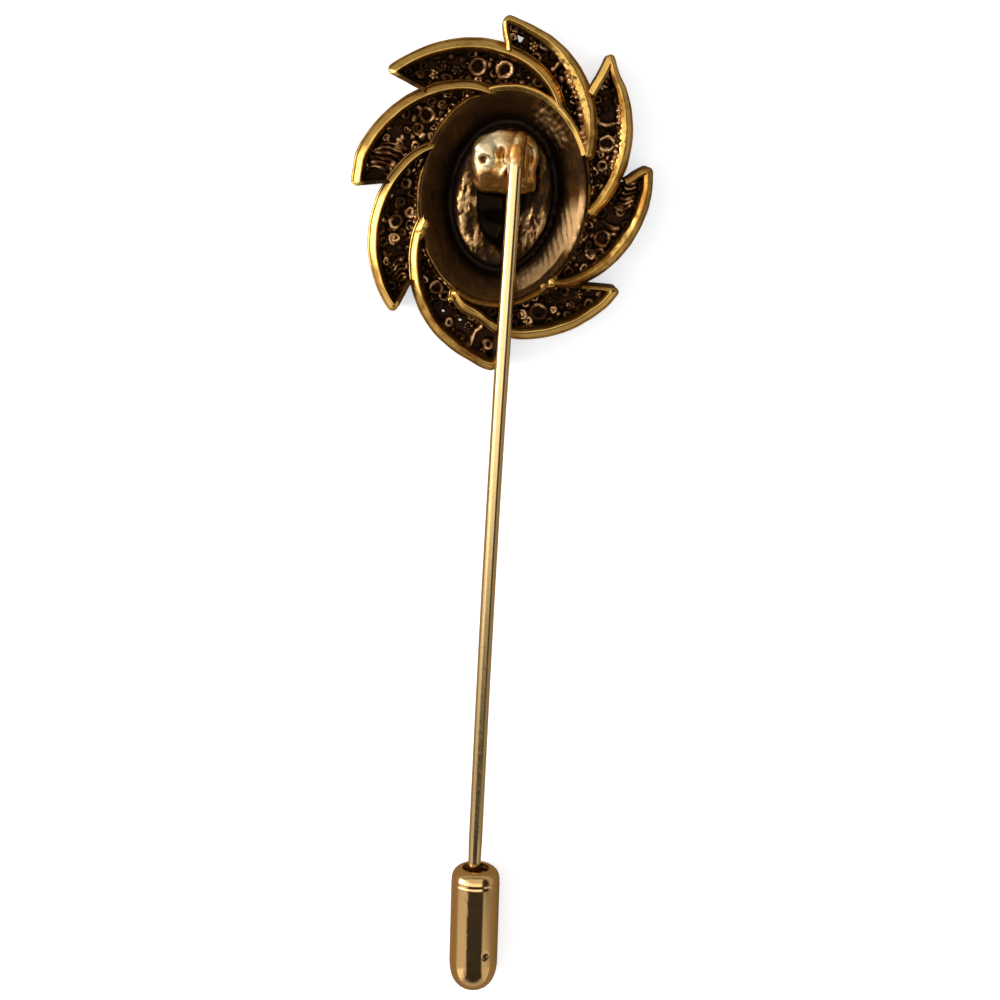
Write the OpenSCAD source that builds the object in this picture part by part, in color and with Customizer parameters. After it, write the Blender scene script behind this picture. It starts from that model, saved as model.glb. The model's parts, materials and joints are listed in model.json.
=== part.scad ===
// Stick pin lying face down. The pinwheel head is at +Y, the clutch at -Y, and the back faces +Z.
// Millimetres. Z 0 is the surface that the front of the head and the clutch rest on.

/* [Head] */
// Half of the width of the dish's outer edge
dish_rx = 6.05; // [5:0.05:7.5]
// Half of the height of the dish's outer edge
dish_ry = 7.75; // [6:0.05:9.5]
// How far the head is turned on the stem, clockwise as seen from the back, in degrees
head_turn = 5; // [0:0.5:15]
// Height of the leaves' crest above the surface that the pin lies on
crest_z = 4.4; // [3.6:0.1:5.4]
// Width of a leaf's outer rim
rim_w = 0.66; // [0.4:0.02:1]

/* [Filigree] */
// Underside of the pierced floors of the leaves
floor_low = 0.9; // [0.4:0.1:1.4]
// Top of the pierced floors of the leaves
floor_high = 1.7; // [1.4:0.1:2.4]
// How far the filigree's rings stand above the floor
ring_rise = 0.35; // [0.1:0.05:0.8]

/* [Centre] */
// Half of the width of the collar in the dish
collar_rx = 3.45; // [3:0.05:4]
// Half of the height of the collar in the dish
collar_ry = 5; // [4.2:0.05:5.6]
// Width of the collar's wall
collar_w = 1.35; // [0.8:0.05:1.8]
// Top of the collar
collar_z = 4.7; // [4:0.1:5.2]
// Radius of the solder pad that holds the stem
pad_r = 2.4; // [1.6:0.1:3]

/* [Stone] */
// Half of the width of the stone
stone_rx = 4.25; // [3.5:0.05:4.8]
// Half of the height of the stone
stone_ry = 5.95; // [5:0.05:6.6]
// Gap all round the stone
stone_gap = 0.05; // [0.02:0.01:0.2]

/* [Stem] */
// Diameter of the stem's wire along its free length
stem_d = 1.02; // [0.8:0.01:1.3]
// How much thicker the wire is at the head, and thinner in the clutch
stem_step = 0.04; // [0:0.01:0.1]
// Length of the stem from the solder pad to its point
stem_len = 64.6; // [50:0.1:80]
// How far the stem slopes down toward its point, in degrees
stem_slope = 3.6; // [2:0.1:6]
// Length of the ground point
point_len = 2.6; // [1:0.1:5]

/* [Clutch] */
// Diameter of the clutch
clutch_d = 3.85; // [3:0.05:5]
// Length of the clutch
clutch_len = 10.3; // [8:0.1:13]
// Length of stem inside the clutch
clutch_grab = 8.8; // [6:0.1:9.2]
// Radius of the rounded shoulder at the clutch's mouth
clutch_round = 0.95; // [0.4:0.05:1.4]
// Length of the clutch's rounded nose
nose_len = 2.4; // [1:0.1:3.2]
// How far the nose narrows to its small flat end
nose_in = 1.55; // [0.9:0.05:1.7]
// Radial clearance between the stem and the grip
grip_clear = 0.04; // [0.02:0.01:0.08]

/* [Hidden] */
$fn = 64;
eps = 0.01;

// The leaves, named by the place of the tip, clockwise as seen from the back.
// Columns: bearing of the tip, reach of the tip beyond the dish, sweep to the inner end,
// distance of the inner end from the dish, bulge of the outer edge.
LEAVES = [
  [-7.4, 5.06, 68.5, 0.95, 1.20],
  [29.3, 5.10, 62.6, 0.95, 1.60],
  [72.2, 4.66, 63.9, 0.80, 1.70],
  [119.0, 4.66, 83.4, 1.00, 1.10],
  [176.3, 4.78, 76.8, 0.20, 1.20],
  [219.8, 4.61, 74.6, 0.20, 1.90],
  [270.7, 5.40, 74.5, 0.10, 1.33],
  [308.7, 5.75, 84.5, 0.60, 1.08]
];
leaf_count = len(LEAVES);

// Steps of the rim's section. Columns: inset of the outer side, inset of the inner side, low z, high z
RIM = [
  [0.20, rim_w, 0, 0.7],
  [0, rim_w + 0.3, 0.7, 3.0],
  [0, rim_w, 3.0, crest_z - 0.4],
  [0.2, rim_w - 0.12, crest_z - 0.4, crest_z]
];

// Holes in a leaf's floor. Columns: place along the leaf, place across it, radius of the hole,
// width of the raised ring round it (0 for none)
HOLES = [
  [0.10, 0.50, 0.24, 0],
  [0.21, 0.50, 0.40, 0.17],
  [0.33, 0.22, 0.20, 0],
  [0.34, 0.76, 0.22, 0],
  [0.46, 0.50, 0.42, 0.17],
  [0.57, 0.20, 0.18, 0],
  [0.58, 0.80, 0.20, 0],
  [0.69, 0.50, 0.40, 0.17],
  [0.81, 0.50, 0.24, 0]
];

// Granules on a leaf's floor. Columns: place along the leaf, place across it, radius
GRANULES = [
  [0.27, 0.86, 0.20],
  [0.40, 0.50, 0.22],
  [0.63, 0.50, 0.20]
];

// The bowl between the dish's edge and its groove. Columns: z, half width, half height
BOWL = [
  [2.3, 4.05, 5.60],
  [2.65, 4.10, 5.65],
  [3.1, 4.66, 6.25],
  [3.6, 5.20, 6.82],
  [4.05, 5.72, 7.42],
  [6, 5.90, 7.60]
];

// The stone from its back to its front. Columns: z, share of the half width, share of the half height
STONE = [
  [1.88, 0.95, 0.965],
  [1.65, 1, 1],
  [1.15, 1, 1],
  [0.8, 0.90, 0.92],
  [0.45, 0.70, 0.74],
  [0.22, 0.42, 0.47],
  [0.12, 0.14, 0.16]
];

steps = 12;
oval_n = 40;

// A point beyond the dish's edge by u, at the bearing phi clockwise from the head's top
function oval_normal(phi) =
  let (n = [sin(phi) / dish_rx, cos(phi) / dish_ry]) n / norm(n);
function beyond(phi, u) =
  [dish_rx * sin(phi), dish_ry * cos(phi)] + oval_normal(phi) * u;
function along_edge(phi) = let (n = oval_normal(phi)) [n.y, -n.x];

// The reach of a leaf's outer edge at the share s of its sweep
function reach_at(leaf, s) =
  let (t = min(max(s, 0), 1), nose = max(0, 1 - t / 0.07))
  leaf[3] + (leaf[1] - leaf[3]) * (1 - pow(t, leaf[4])) - 0.3 * nose * nose;
function leaf_before(i) = LEAVES[(i + leaf_count - 1) % leaf_count];
// The reach of the leaf before, at a bearing of this one
function before_at(i, phi) =
  let (b = leaf_before(i), p = phi < b[0] ? phi + 360 : phi, s = (p - b[0]) / b[2])
  s >= 1 ? 0 : reach_at(b, s);

// The outer edge of leaf i, inset by d
function edge_points(i, d, first = 0, low = -0.1) =
  let (leaf = LEAVES[i])
  [for (k = [first:steps])
    let (s = k / steps)
    beyond(leaf[0] + s * leaf[2], max(reach_at(leaf, s) - d, low))];
function flipped(list) = [for (k = [len(list) - 1:-1:0]) list[k]];

// The outline of all the leaves together, inset by d, with a step out to each tip
function next_bearing(i) = LEAVES[(i + 1) % leaf_count][0] + (i == leaf_count - 1 ? 360 : 0);
function all_leaves(d) =
  [for (i = [0:leaf_count - 1])
    let (leaf = LEAVES[i], share = (next_bearing(i) - leaf[0] - 1) / leaf[2])
    for (k = [0:8])
      let (s = 0.02 + (share - 0.02) * k / 8)
      beyond(leaf[0] + s * leaf[2], reach_at(leaf, s) - d)];

// A point of leaf i's floor at the share s along it and w across it
function floor_point(i, s, w) =
  let (leaf = LEAVES[i], phi = leaf[0] + s * leaf[2],
    low = max(before_at(i, phi) + 0.15, 0.45), high = reach_at(leaf, s) - rim_w - 0.15)
  beyond(phi, low + (high - low) * w);

// The short concave edge from the tip of leaf i to the leaf before it
function tip_points(i, d) =
  let (leaf = LEAVES[i], top = reach_at(leaf, 0), foot = before_at(i, leaf[0]) - 0.3)
  [for (k = [0:5])
    let (t = k / 5, phi = leaf[0] + 2.4 * sin(180 * t))
    beyond(phi, top + (foot - top) * t) + along_edge(phi) * d];

function oval_points(rx, ry, n = oval_n) =
  [for (k = [0:n - 1]) [rx * sin(360 * k / n), ry * cos(360 * k / n)]];
function turned(p) =
  [p.x * cos(head_turn) + p.y * sin(head_turn), -p.x * sin(head_turn) + p.y * cos(head_turn)];

// The head's outline and the clutch's end set the origin in the middle of the whole pin
outline = [for (i = [0:leaf_count - 1]) each [for (p = edge_points(i, 0)) turned(p)]];
stem_x = 0.7;
stem_top = 3.5;
taper_one = 17.8;
taper_two = stem_len - 11;
taper_len = 1.4;
clutch_r = clutch_d / 2;
clutch_out = stem_len - clutch_grab;
clutch_end = clutch_out + clutch_len;
flat_end = clutch_end - nose_len;
// The lowest line of the clutch is the one where its nose starts
stem_z0 = clutch_r * cos(stem_slope) + flat_end * sin(stem_slope);
right_x = max([for (p = outline) p.x]);
left_x = min([for (p = outline) p.x]);
top_y = max([for (p = outline) p.y]);
tail_y = stem_top - clutch_end * cos(stem_slope)
  - (clutch_r - nose_in) * sin(stem_slope);
head_at = [-(right_x + left_x) / 2, -(top_y + tail_y) / 2, 0];

// Which piece to draw

// Moves to the head's centre and turns with the head
module at_head() {
  translate(head_at)
    rotate([0, 0, -head_turn])
      children();
}

// Moves to the stem's upper end, with Z along the stem toward its point
module at_stem(d = 0) {
  translate(head_at + [stem_x, stem_top, stem_z0])
    rotate([90 + stem_slope, 0, 0])
      translate([0, 0, d])
        children();
}

// A solid through oval sections. Columns: z, half width, half height
module oval_loft(sections, n = oval_n) {
  m = len(sections);
  points = [for (s = sections) each [for (p = oval_points(s[1], s[2], n)) [p.x, p.y, s[0]]]];
  sides = [for (r = [0:m - 2]) for (k = [0:n - 1])
    [r * n + k, r * n + (k + 1) % n, (r + 1) * n + (k + 1) % n, (r + 1) * n + k]];
  low_cap = [for (k = [n - 1:-1:0]) k];
  high_cap = [for (k = [0:n - 1]) (m - 1) * n + k];
  up = sections[m - 1][0] > sections[0][0];
  faces = concat([low_cap], sides, [high_cap]);
  polyhedron(up ? points : flip_rows(points, n, m), faces, convexity = 4);
}
function flip_rows(points, n, m) =
  [for (r = [m - 1:-1:0]) for (k = [0:n - 1]) points[r * n + k]];

module oval_prism(rx, ry, low, high) {
  translate([0, 0, low])
    linear_extrude(high - low)
      polygon(oval_points(rx, ry));
}

// The outer rim of one leaf in its steps, with the edge at the tip
module leaf_rim(i) {
  for (r = RIM) {
    translate([0, 0, r[2]])
      linear_extrude(r[3] - r[2])
        polygon(concat(edge_points(i, r[0]), flipped(edge_points(i, r[1], 0, -0.5))));
  }
  translate([0, 0, 0.7])
    linear_extrude(crest_z - 0.25 - 0.7)
      polygon(concat(tip_points(i, 0), flipped(tip_points(i, 0.5))));
}

// The pierced floor of the leaves
module leaf_floors() {
  difference() {
    translate([0, 0, floor_low])
      linear_extrude(floor_high - floor_low)
        polygon(all_leaves(0.3));
    oval_prism(dish_rx + 0.1, dish_ry + 0.1, -1, 6);
    for (i = [0:leaf_count - 1])
      for (h = HOLES)
        translate(concat(floor_point(i, h[0], h[1]), [floor_low - 1]))
          cylinder(r = h[2], h = 3);
  }
}

// The raised rings and granules on one leaf's floor
module leaf_relief(i) {
  for (h = HOLES) {
    if (h[3] > 0) {
      translate(concat(floor_point(i, h[0], h[1]), [floor_high - 0.2]))
        difference() {
          cylinder(r = h[2] + h[3], h = ring_rise + 0.2);
          translate([0, 0, -1])
            cylinder(r = h[2] - 0.03, h = ring_rise + 3);
        }
    }
  }
  for (g = GRANULES) {
    translate(concat(floor_point(i, g[0], g[1]), [floor_high]))
      sphere(r = g[2]);
  }
}

// The dish with its edge, groove, collar and the seat of the stone on its front
module dish() {
  difference() {
    union() {
      difference() {
        oval_prism(dish_rx + 0.42, dish_ry + 0.42, floor_low, crest_z - 0.35);
        oval_loft(BOWL);
      }
      oval_prism(collar_rx, collar_ry, 2, collar_z);
      oval_prism(stone_rx + 0.45, stone_ry + 0.45, 0.35, 1);
    }
    oval_prism(collar_rx - collar_w, collar_ry - collar_w, 1, collar_z + 1);
    oval_prism(stone_rx + stone_gap, stone_ry + stone_gap, -1, 1.93);
  }
}

// The lump of solder on the collar
module pad() {
  translate([-0.35, 2.35, 0]) {
    translate([0, 0, 3.4])
      cylinder(r = pad_r, h = 1.9);
    translate([0, 0, 5.3 - eps])
      cylinder(r1 = pad_r, r2 = pad_r - 0.7, h = 0.6);
  }
}

// The wire, which thins in two short tapers on its way to the ground point
module stem() {
  thick = stem_d + stem_step;
  thin = stem_d - stem_step;
  cylinder(d = thick, h = taper_one);
  translate([0, 0, taper_one])
    cylinder(d1 = thick, d2 = stem_d, h = taper_len);
  translate([0, 0, taper_one + taper_len])
    cylinder(d = stem_d, h = taper_two - taper_one - taper_len);
  translate([0, 0, taper_two])
    cylinder(d1 = stem_d, d2 = thin, h = taper_len);
  translate([0, 0, taper_two + taper_len])
    cylinder(d = thin, h = stem_len - point_len - taper_two - taper_len);
  translate([0, 0, stem_len - point_len])
    cylinder(d1 = thin, d2 = 0.12, h = point_len);
}

// The leaves, dish, solder and stem are one soldered piece of metal
module pin() {
  color([0.75, 0.56, 0.25]) {
    at_head() {
      for (i = [0:leaf_count - 1]) {
        leaf_rim(i);
        leaf_relief(i);
      }
      leaf_floors();
      dish();
      pad();
    }
    at_stem()
      stem();
  }
}

module stone() {
  color([0.13, 0.13, 0.12])
    at_head()
      oval_loft([for (s = STONE) [s[0], s[1] * stone_rx, s[2] * stone_ry]]);
}

// Half of the clutch's section: radius against the distance from its mouth
function clutch_profile() = concat(
  [[0, clutch_len]],
  [for (a = [0:15:90])
    [clutch_r - nose_in + nose_in * sin(a), clutch_len - nose_len + nose_len * cos(a)]],
  [for (a = [0:15:90])
    [clutch_r - clutch_round + clutch_round * cos(a), clutch_round - clutch_round * sin(a)]],
  [[0, 0]]
);

module clutch() {
  color([0.78, 0.6, 0.3])
    at_stem(clutch_out)
      difference() {
        rotate_extrude()
          polygon(clutch_profile());
        translate([0, 0, -1])
          cylinder(r = 1.07, h = 2);
        translate([0, 0, 0.5])
          cylinder(r = clutch_r - 0.47, h = clutch_len - nose_len + 0.2);
        translate([0, 0, 0.5])
          cylinder(r = 1, h = clutch_len - 1.3);
      }
}

// The dark grip inside the clutch that holds on to the stem
module clutch_grip() {
  color([0.2, 0.16, 0.12])
    at_stem(clutch_out)
      translate([0, 0, 0.55])
        difference() {
          cylinder(r = clutch_r - 0.5, h = 5.4);
          translate([0, 0, -1])
            cylinder(r = (stem_d - stem_step) / 2 + grip_clear, h = 8);
        }
}

pin();
stone();
clutch();
clutch_grip();
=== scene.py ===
"""A gilt stick pin lying face down: pinwheel head, long wire stem and bullet clutch."""

import json
import math
import random

import bpy
import numpy as np
from mathutils import Matrix, Vector, noise

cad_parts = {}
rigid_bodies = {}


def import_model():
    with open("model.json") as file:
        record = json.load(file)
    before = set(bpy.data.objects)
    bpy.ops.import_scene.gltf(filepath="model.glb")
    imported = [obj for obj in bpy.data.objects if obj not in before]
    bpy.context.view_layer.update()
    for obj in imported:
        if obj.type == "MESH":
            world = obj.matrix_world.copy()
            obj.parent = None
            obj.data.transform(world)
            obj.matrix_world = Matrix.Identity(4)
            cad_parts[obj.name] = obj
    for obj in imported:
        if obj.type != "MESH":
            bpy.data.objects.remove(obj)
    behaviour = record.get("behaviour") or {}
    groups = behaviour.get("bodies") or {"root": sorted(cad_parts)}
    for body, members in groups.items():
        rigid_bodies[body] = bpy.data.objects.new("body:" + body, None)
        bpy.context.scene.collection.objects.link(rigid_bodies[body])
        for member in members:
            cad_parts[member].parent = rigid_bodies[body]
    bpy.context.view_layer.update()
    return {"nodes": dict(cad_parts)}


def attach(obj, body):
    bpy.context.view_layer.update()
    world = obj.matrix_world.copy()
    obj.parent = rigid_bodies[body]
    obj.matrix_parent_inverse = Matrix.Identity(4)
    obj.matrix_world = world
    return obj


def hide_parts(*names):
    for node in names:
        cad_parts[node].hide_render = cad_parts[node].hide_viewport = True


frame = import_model()

MM = 0.001
# Blender's vector noise starts from the clock unless it is seeded
noise.seed_set(7)

# Where the head's centre and the stem's upper end are, in millimetres, as in the part's source
HEAD_AT = np.array([0.2382, 24.9574])
HEAD_TURN = math.radians(5)
DISH_RX, DISH_RY = 6.05, 7.75
STEM_TOP = np.array([0.9382, 28.4574, 5.9210])
STEM_SLOPE = math.radians(3.6)
CLUTCH_OUT = 55.8

# The leaves. Bearings and sweeps are in degrees, clockwise; all else is in millimetres. Columns: bearing
# of the tip, reach of the tip, sweep, reach of the inner end, bulge of the outer edge, width of the inner
# rim against the outer one's, its height against the crest, where the inner end lies
TIP, REACH, SWEEP, END_REACH, BULGE, INNER_WIDTH, INNER_HEIGHT, INNER_END = range(8)
LEAVES = {
    "A": (-7.4, 5.06, 68.5, 0.95, 1.20, 0.48, 0.00, -0.12),
    "B": (29.3, 5.10, 62.6, 0.95, 1.60, 0.45, -0.90, -0.12),
    "C": (72.2, 4.66, 63.9, 0.80, 1.70, 0.40, -0.50, -0.12),
    "D": (119.0, 4.66, 83.4, 1.00, 1.10, 0.60, -0.05, -0.12),
    "E": (176.3, 4.78, 76.8, 0.20, 1.20, 0.40, -0.30, -0.52),
    "F": (219.8, 4.61, 74.6, 0.20, 1.90, 0.45, -0.40, -0.40),
    "G": (270.7, 5.40, 74.5, 0.10, 1.33, 0.50, -0.20, -0.50),
    "H": (308.7, 5.75, 84.5, 0.60, 1.08, 0.52, 0.00, -0.12),
}
NAMES = list(LEAVES)
INNER_AT = -0.12
# Where the outer edge falls back to the plan, as a start and a length along the leaf, and the tip's length
SIDE_FADE = (0.88, 0.12)
TIP_LENGTH = 0.07
# How much of the leaf a rim takes to reach its full width, and where its inner edge turns to its end
WIDENS_OVER, TURNS_IN = 0.55, (0.72, 0.20)
# Dips in an outer edge. Columns: depth, place along the leaf, length
DIPS = {"D": (0.42, 0.79, 0.11)}
# Each leaf's rim. Columns: full width at the tip and from the middle on, where its ridge is across the
# section, how deep its inner slope falls against the section's, how far the side is moved out, how bright
# the facet, the inner slope and the tip's edge are made. That brightness is partly wear and partly painted
# light: a painted highlight on faces turned to the lamp on the left, painted shade on shadowed tip edges
AT_TIP, AT_SIDE, RIDGE_AT, FALL, SIDE_OUT, FACET_LIGHT_AND_WEAR, SLOPE_LIGHT_AND_WEAR, EDGE_LIGHT_AND_WEAR = range(8)
RIMS = {
    "A": (0.66, 1.30, 0.72, 0.25, 0.00, 0.78, 1.30, 0.70),
    "B": (0.70, 1.15, 0.80, 0.30, 0.09, 0.82, 1.25, 1.50),
    "C": (0.78, 1.10, 0.76, 0.45, 0.27, 0.60, 0.90, 0.60),
    "D": (0.95, 1.05, 0.90, 0.80, 0.18, 0.80, 0.55, 0.50),
    "E": (1.00, 1.10, 0.90, 1.00, 0.11, 0.95, 0.45, 0.40),
    "F": (0.84, 0.97, 1.00, 1.00, 0.16, 1.10, 0.35, 0.30),
    "G": (0.98, 1.05, 1.02, 1.00, 0.06, 0.80, 0.45, 0.15),
    "H": (0.95, 1.12, 0.96, 0.90, 0.10, 0.86, 0.55, 0.30),
}
# Where along the leaf an inner slope is rough and painted bright, a painted highlight where the lamp on the
# left lights it. Columns: start, end, how rough
ROUGH_SLOPES = {"A": (0.28, 0.90, 0.06), "B": (0.30, 0.70, 0.06), "C": (0.20, 0.60, 0.05)}
DULL_SLOPE, SLOPE_ENDS = 0.50, 0.15
# Leaves whose inner rim is worn flat and bright, how dark the others are, and where a duller stretch ends
FLAT_INNER, DARK_INNER = "AH", 0.45
DULL_UNTIL, DULLER = {"E": 0.72}, 0.34
# Each leaf's tip. Columns: the corner's bearing from the tip's, its reach, the same of the edge's foot,
# how far the edge bows out, its full width, how far the outer edge is moved out at the corner
CORNER_AT, CORNER_REACH, FOOT_AT, FOOT_REACH, BOW, EDGE_WIDTH, PUSH = range(7)
TIPS = {
    "A": (-0.7, 5.18, -0.5, 3.26, 0.08, 0.46, 0.25), "B": (-0.2, 5.60, 3.4, 3.11, -0.06, 0.66, 0.60),
    "C": (-0.6, 4.75, 2.4, 3.19, 0.08, 0.56, 0.26), "D": (0.6, 4.31, 5.5, 2.49, 0.04, 0.34, 0.04),
    "E": (-2.2, 5.10, -3.3, 2.87, 0.00, 0.42, 0.38), "F": (-2.7, 4.69, 1.2, 2.74, 0.06, 0.45, 0.22),
    "G": (-4.6, 5.12, -2.9, 3.03, -0.05, 0.36, -0.20), "H": (-0.6, 5.71, 1.6, 3.35, 0.00, 0.40, 0.12),
}

# The rim's section, from the front up the outer wall, over the two facets and down inside.
# Columns: inset, height, wear
RIM_SECTION = [
    (0.55, 0.00, 0.30), (0.28, 0.00, 0.50), (0.10, 0.10, 0.80), (0.02, 0.30, 0.60),
    (0.00, 0.80, 0.45), (0.00, 2.20, 0.45), (0.00, 3.30, 0.50), (0.01, 3.60, 0.70),
    (0.04, 3.73, 0.85), (0.08, 3.79, 0.85), (0.115, 3.80, 0.55), (0.15, 3.83, 0.55),
    (0.19, 3.90, 0.85), (0.27, 3.97, 1.00), (0.36, 4.04, 1.00), (0.46, 4.12, 1.00),
    (0.55, 4.18, 1.00), (0.62, 4.22, 1.00), (0.68, 4.23, 1.00), (0.75, 4.21, 0.95),
    (0.84, 4.15, 0.90), (0.94, 4.08, 0.85), (1.05, 4.00, 0.80), (1.16, 3.90, 0.75),
    (1.26, 3.78, 0.70), (1.34, 3.60, 0.50), (1.39, 3.30, 0.25), (1.42, 2.60, 0.08),
    (1.42, 1.50, 0.00), (1.38, 0.95, 0.00), (0.90, 0.80, 0.00), (0.66, 0.30, 0.30),
]
# The row where the inner slope starts, the ridge's inset, the section's width and its height
SLOPE_FROM = 19
RIDGE, FULL, CREST = 0.68, 1.42, 4.23
# Above these heights the facet and the slope follow each leaf's own width and fall
FACET_FROM, FALL_FROM = 3.55, 3.7
# How deep the inner rim's slope falls against the section's, and how high its facet stands, if worn flat
# and at least
INNER_FALL, FLAT_RISE, LEAST_RISE = 0.4, 0.15, 0.4

# Where a leaf's floor lies: how far past the leaf before, how far out at least, and the rim's inset above it
PAST_BEFORE, OUT_LEAST, UNDER_RIM = 0.08, 0.42, 1.38
# The floors' plates: the inset of their edge under the rim, and half their thickness with its rounding
PLATE_INSET, PLATE_HALF, PLATE_ROUND = 0.8, 0.36, 0.04
# How high the pierced floor, the wires' feet and the main motifs' tops lie
FLOOR = 1.7
FOOT = FLOOR - 0.1
WIRE_TOP = 2.95
# How wide the motifs' wire and the ribs' are, and how long a rope's beads are
WIRE, RIB_WIRE, BEAD = 0.40, 0.34, 0.42
# The section of a wire on edge. Columns: offset and depth below the top, as shares of its width, and wear.
# A depth of None is at the wire's foot
WALL_SECTION = [
    (-0.50, None, 0.0), (-0.50, 0.70, 0.45), (-0.46, 0.42, 0.7), (-0.34, 0.20, 0.9), (-0.18, 0.06, 1.0),
    (0.0, 0.0, 1.0), (0.18, 0.06, 1.0), (0.34, 0.20, 0.9), (0.46, 0.42, 0.7), (0.50, 0.70, 0.45),
    (0.50, None, 0.0),
]
# What a motif keeps clear of the tip's edge: a share of its size and a distance
KEEP_OFF, EDGE_ROOM = 0.8, 0.15
# The small filling: its radii with how often a place is tried for each, and which radii are curls
FILLING = ((0.54, 120), (0.42, 180), (0.30, 240))
CURLS_ABOVE = 0.35
# How near two of them may come, as a share of their radii, and how low the filling may lie
CROWDING, FILLING_DEPTH = 0.78, (0.05, 0.65)
# How worn motifs and filling may be
MOTIF_SHADES, FILLING_SHADES = (0.34, 0.42, 0.48, 0.60, 0.95), (0.28, 0.34, 0.40, 0.48, 0.9)
# Filigree of each leaf. Columns: kind, place along the leaf, place across it, size in millimetres
FILIGREE = {
    "A": [("rosette", 0.16, 0.50, 0.36), ("rosette", 0.25, 0.50, 0.28), ("ribbon", 0.33, 0.50, 0.42),
          ("granule", 0.42, 0.45, 0.33), ("granule", 0.50, 0.30, 0.17), ("rosette", 0.58, 0.70, 0.30),
          ("granule", 0.67, 0.50, 0.16)],
    "B": [("granule", 0.10, 0.30, 0.20), ("granule", 0.185, 0.50, 0.19), ("granule", 0.25, 0.45, 0.22),
          ("ribbon", 0.34, 0.50, 0.60), ("ring", 0.475, 0.50, 0.54), ("ring", 0.63, 0.55, 0.34),
          ("granule", 0.73, 0.75, 0.18), ("rosette", 0.76, 0.30, 0.30)],
    "C": [("ribs", 0.15, 0.55, 0.50), ("scroll", 0.27, 0.60, 0.42), ("ribbon", 0.365, 0.60, 0.65),
          ("ring", 0.48, 0.62, 0.54), ("scroll", 0.625, 0.60, 0.40), ("granule", 0.75, 0.50, 0.18),
          ("granule", 0.36, 0.15, 0.18)],
    "D": [("granule", 0.06, 0.50, 0.18), ("rosette", 0.14, 0.45, 0.34), ("rosette", 0.21, 0.75, 0.30),
          ("rosette", 0.265, 0.40, 0.36), ("granule", 0.29, 0.85, 0.20), ("ring", 0.385, 0.55, 0.56),
          ("scroll", 0.50, 0.55, 0.38), ("granule", 0.60, 0.50, 0.20), ("ring", 0.69, 0.50, 0.26)],
    "E": [("ribbon", 0.085, 0.50, 0.80), ("ring", 0.015, 0.55, 0.30), ("rosette", 0.15, 0.35, 0.30),
          ("rosette", 0.25, 0.20, 0.26), ("ring", 0.265, 0.80, 0.26), ("ring", 0.39, 0.35, 0.34),
          ("ring", 0.47, 0.45, 0.44), ("granule", 0.60, 0.50, 0.20), ("granule", 0.66, 0.50, 0.16)],
    "F": [("ribs", 0.10, 0.35, 0.42), ("granule", 0.235, 0.62, 0.24), ("granule", 0.185, 0.25, 0.25),
          ("scroll", 0.32, 0.50, 0.46), ("ring", 0.42, 0.60, 0.44), ("scroll", 0.54, 0.50, 0.44),
          ("ring", 0.66, 0.50, 0.32), ("granule", 0.76, 0.50, 0.18)],
    "G": [("ribs", 0.105, 0.45, 0.90), ("granule", 0.25, 0.50, 0.20), ("granule", 0.30, 0.78, 0.20),
          ("scroll", 0.345, 0.40, 0.48), ("ring", 0.445, 0.50, 0.50), ("granule", 0.47, 0.15, 0.20),
          ("granule", 0.45, 0.88, 0.20), ("scroll", 0.57, 0.50, 0.36), ("granule", 0.67, 0.50, 0.18)],
    "H": [("rosette", 0.125, 0.32, 0.34), ("rosette", 0.18, 0.60, 0.36), ("rosette", 0.23, 0.30, 0.34),
          ("ring", 0.35, 0.48, 0.55), ("ring", 0.505, 0.53, 0.54), ("granule", 0.43, 0.80, 0.18),
          ("granule", 0.60, 0.45, 0.20), ("granule", 0.66, 0.50, 0.15)],
}
# Motifs made lighter, by leaf and place along it: partly wear, partly painted highlights where they catch the
# light
BRIGHT_MOTIFS = {
    ("A", 0.16): 1.9, ("A", 0.58): 1.5, ("H", 0.505): 1.4, ("B", 0.475): 1.5, ("E", 0.085): 1.4,
}
# Ropes of twisted wire. Columns: leaf, start and end along the leaf, place across it, width, top, wear
# The high wear of the ropes on A and B also paints the light that falls on those inner slopes from the left
ROPES = [
    ("A", 0.40, 0.93, 0.98, 0.50, 4.34, 1.6), ("B", 0.26, 0.66, 0.98, 0.46, 4.26, 1.3),
    ("D", 0.20, 0.36, -0.02, 0.32, 3.4, 0.7), ("F", 0.30, 0.93, -0.02, 0.36, 3.5, 0.8),
    ("G", 0.36, 0.95, -0.04, 0.40, 3.6, 0.8), ("C", 0.30, 0.80, -0.03, 0.30, 3.4, 0.7),
    ("B", 0.55, 0.86, 0.02, 0.32, 3.4, 0.8), ("E", 0.36, 0.85, -0.02, 0.26, 3.4, 0.7),
]
# Openings right through a floor. Columns: leaf and the corners, as place along the leaf and reach
OPENINGS = [
    ("A", [(0.052, 4.04), (0.104, 3.82), (0.077, 3.20)]),
    ("E", [(0.313, 2.05), (0.318, 2.32), (0.338, 2.36), (0.344, 2.05)]),
    ("E", [(0.193, 2.02), (0.196, 2.29), (0.218, 2.32), (0.222, 2.02)]),
]
# Lumps of metal where leaves meet. Columns: place on the head, height, radius, wear
LUMPS = [
    (4.37, -5.76, 4.12, 0.34, 0.9), (3.85, -6.15, 4.05, 0.26, 0.7), (-5.40, -2.90, 3.94, 0.38, 0.50),
    (-5.62, -3.50, 3.96, 0.42, 0.55), (-2.80, -7.95, 4.02, 0.26, 0.9), (6.45, -0.15, 4.00, 0.26, 0.6),
]
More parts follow.
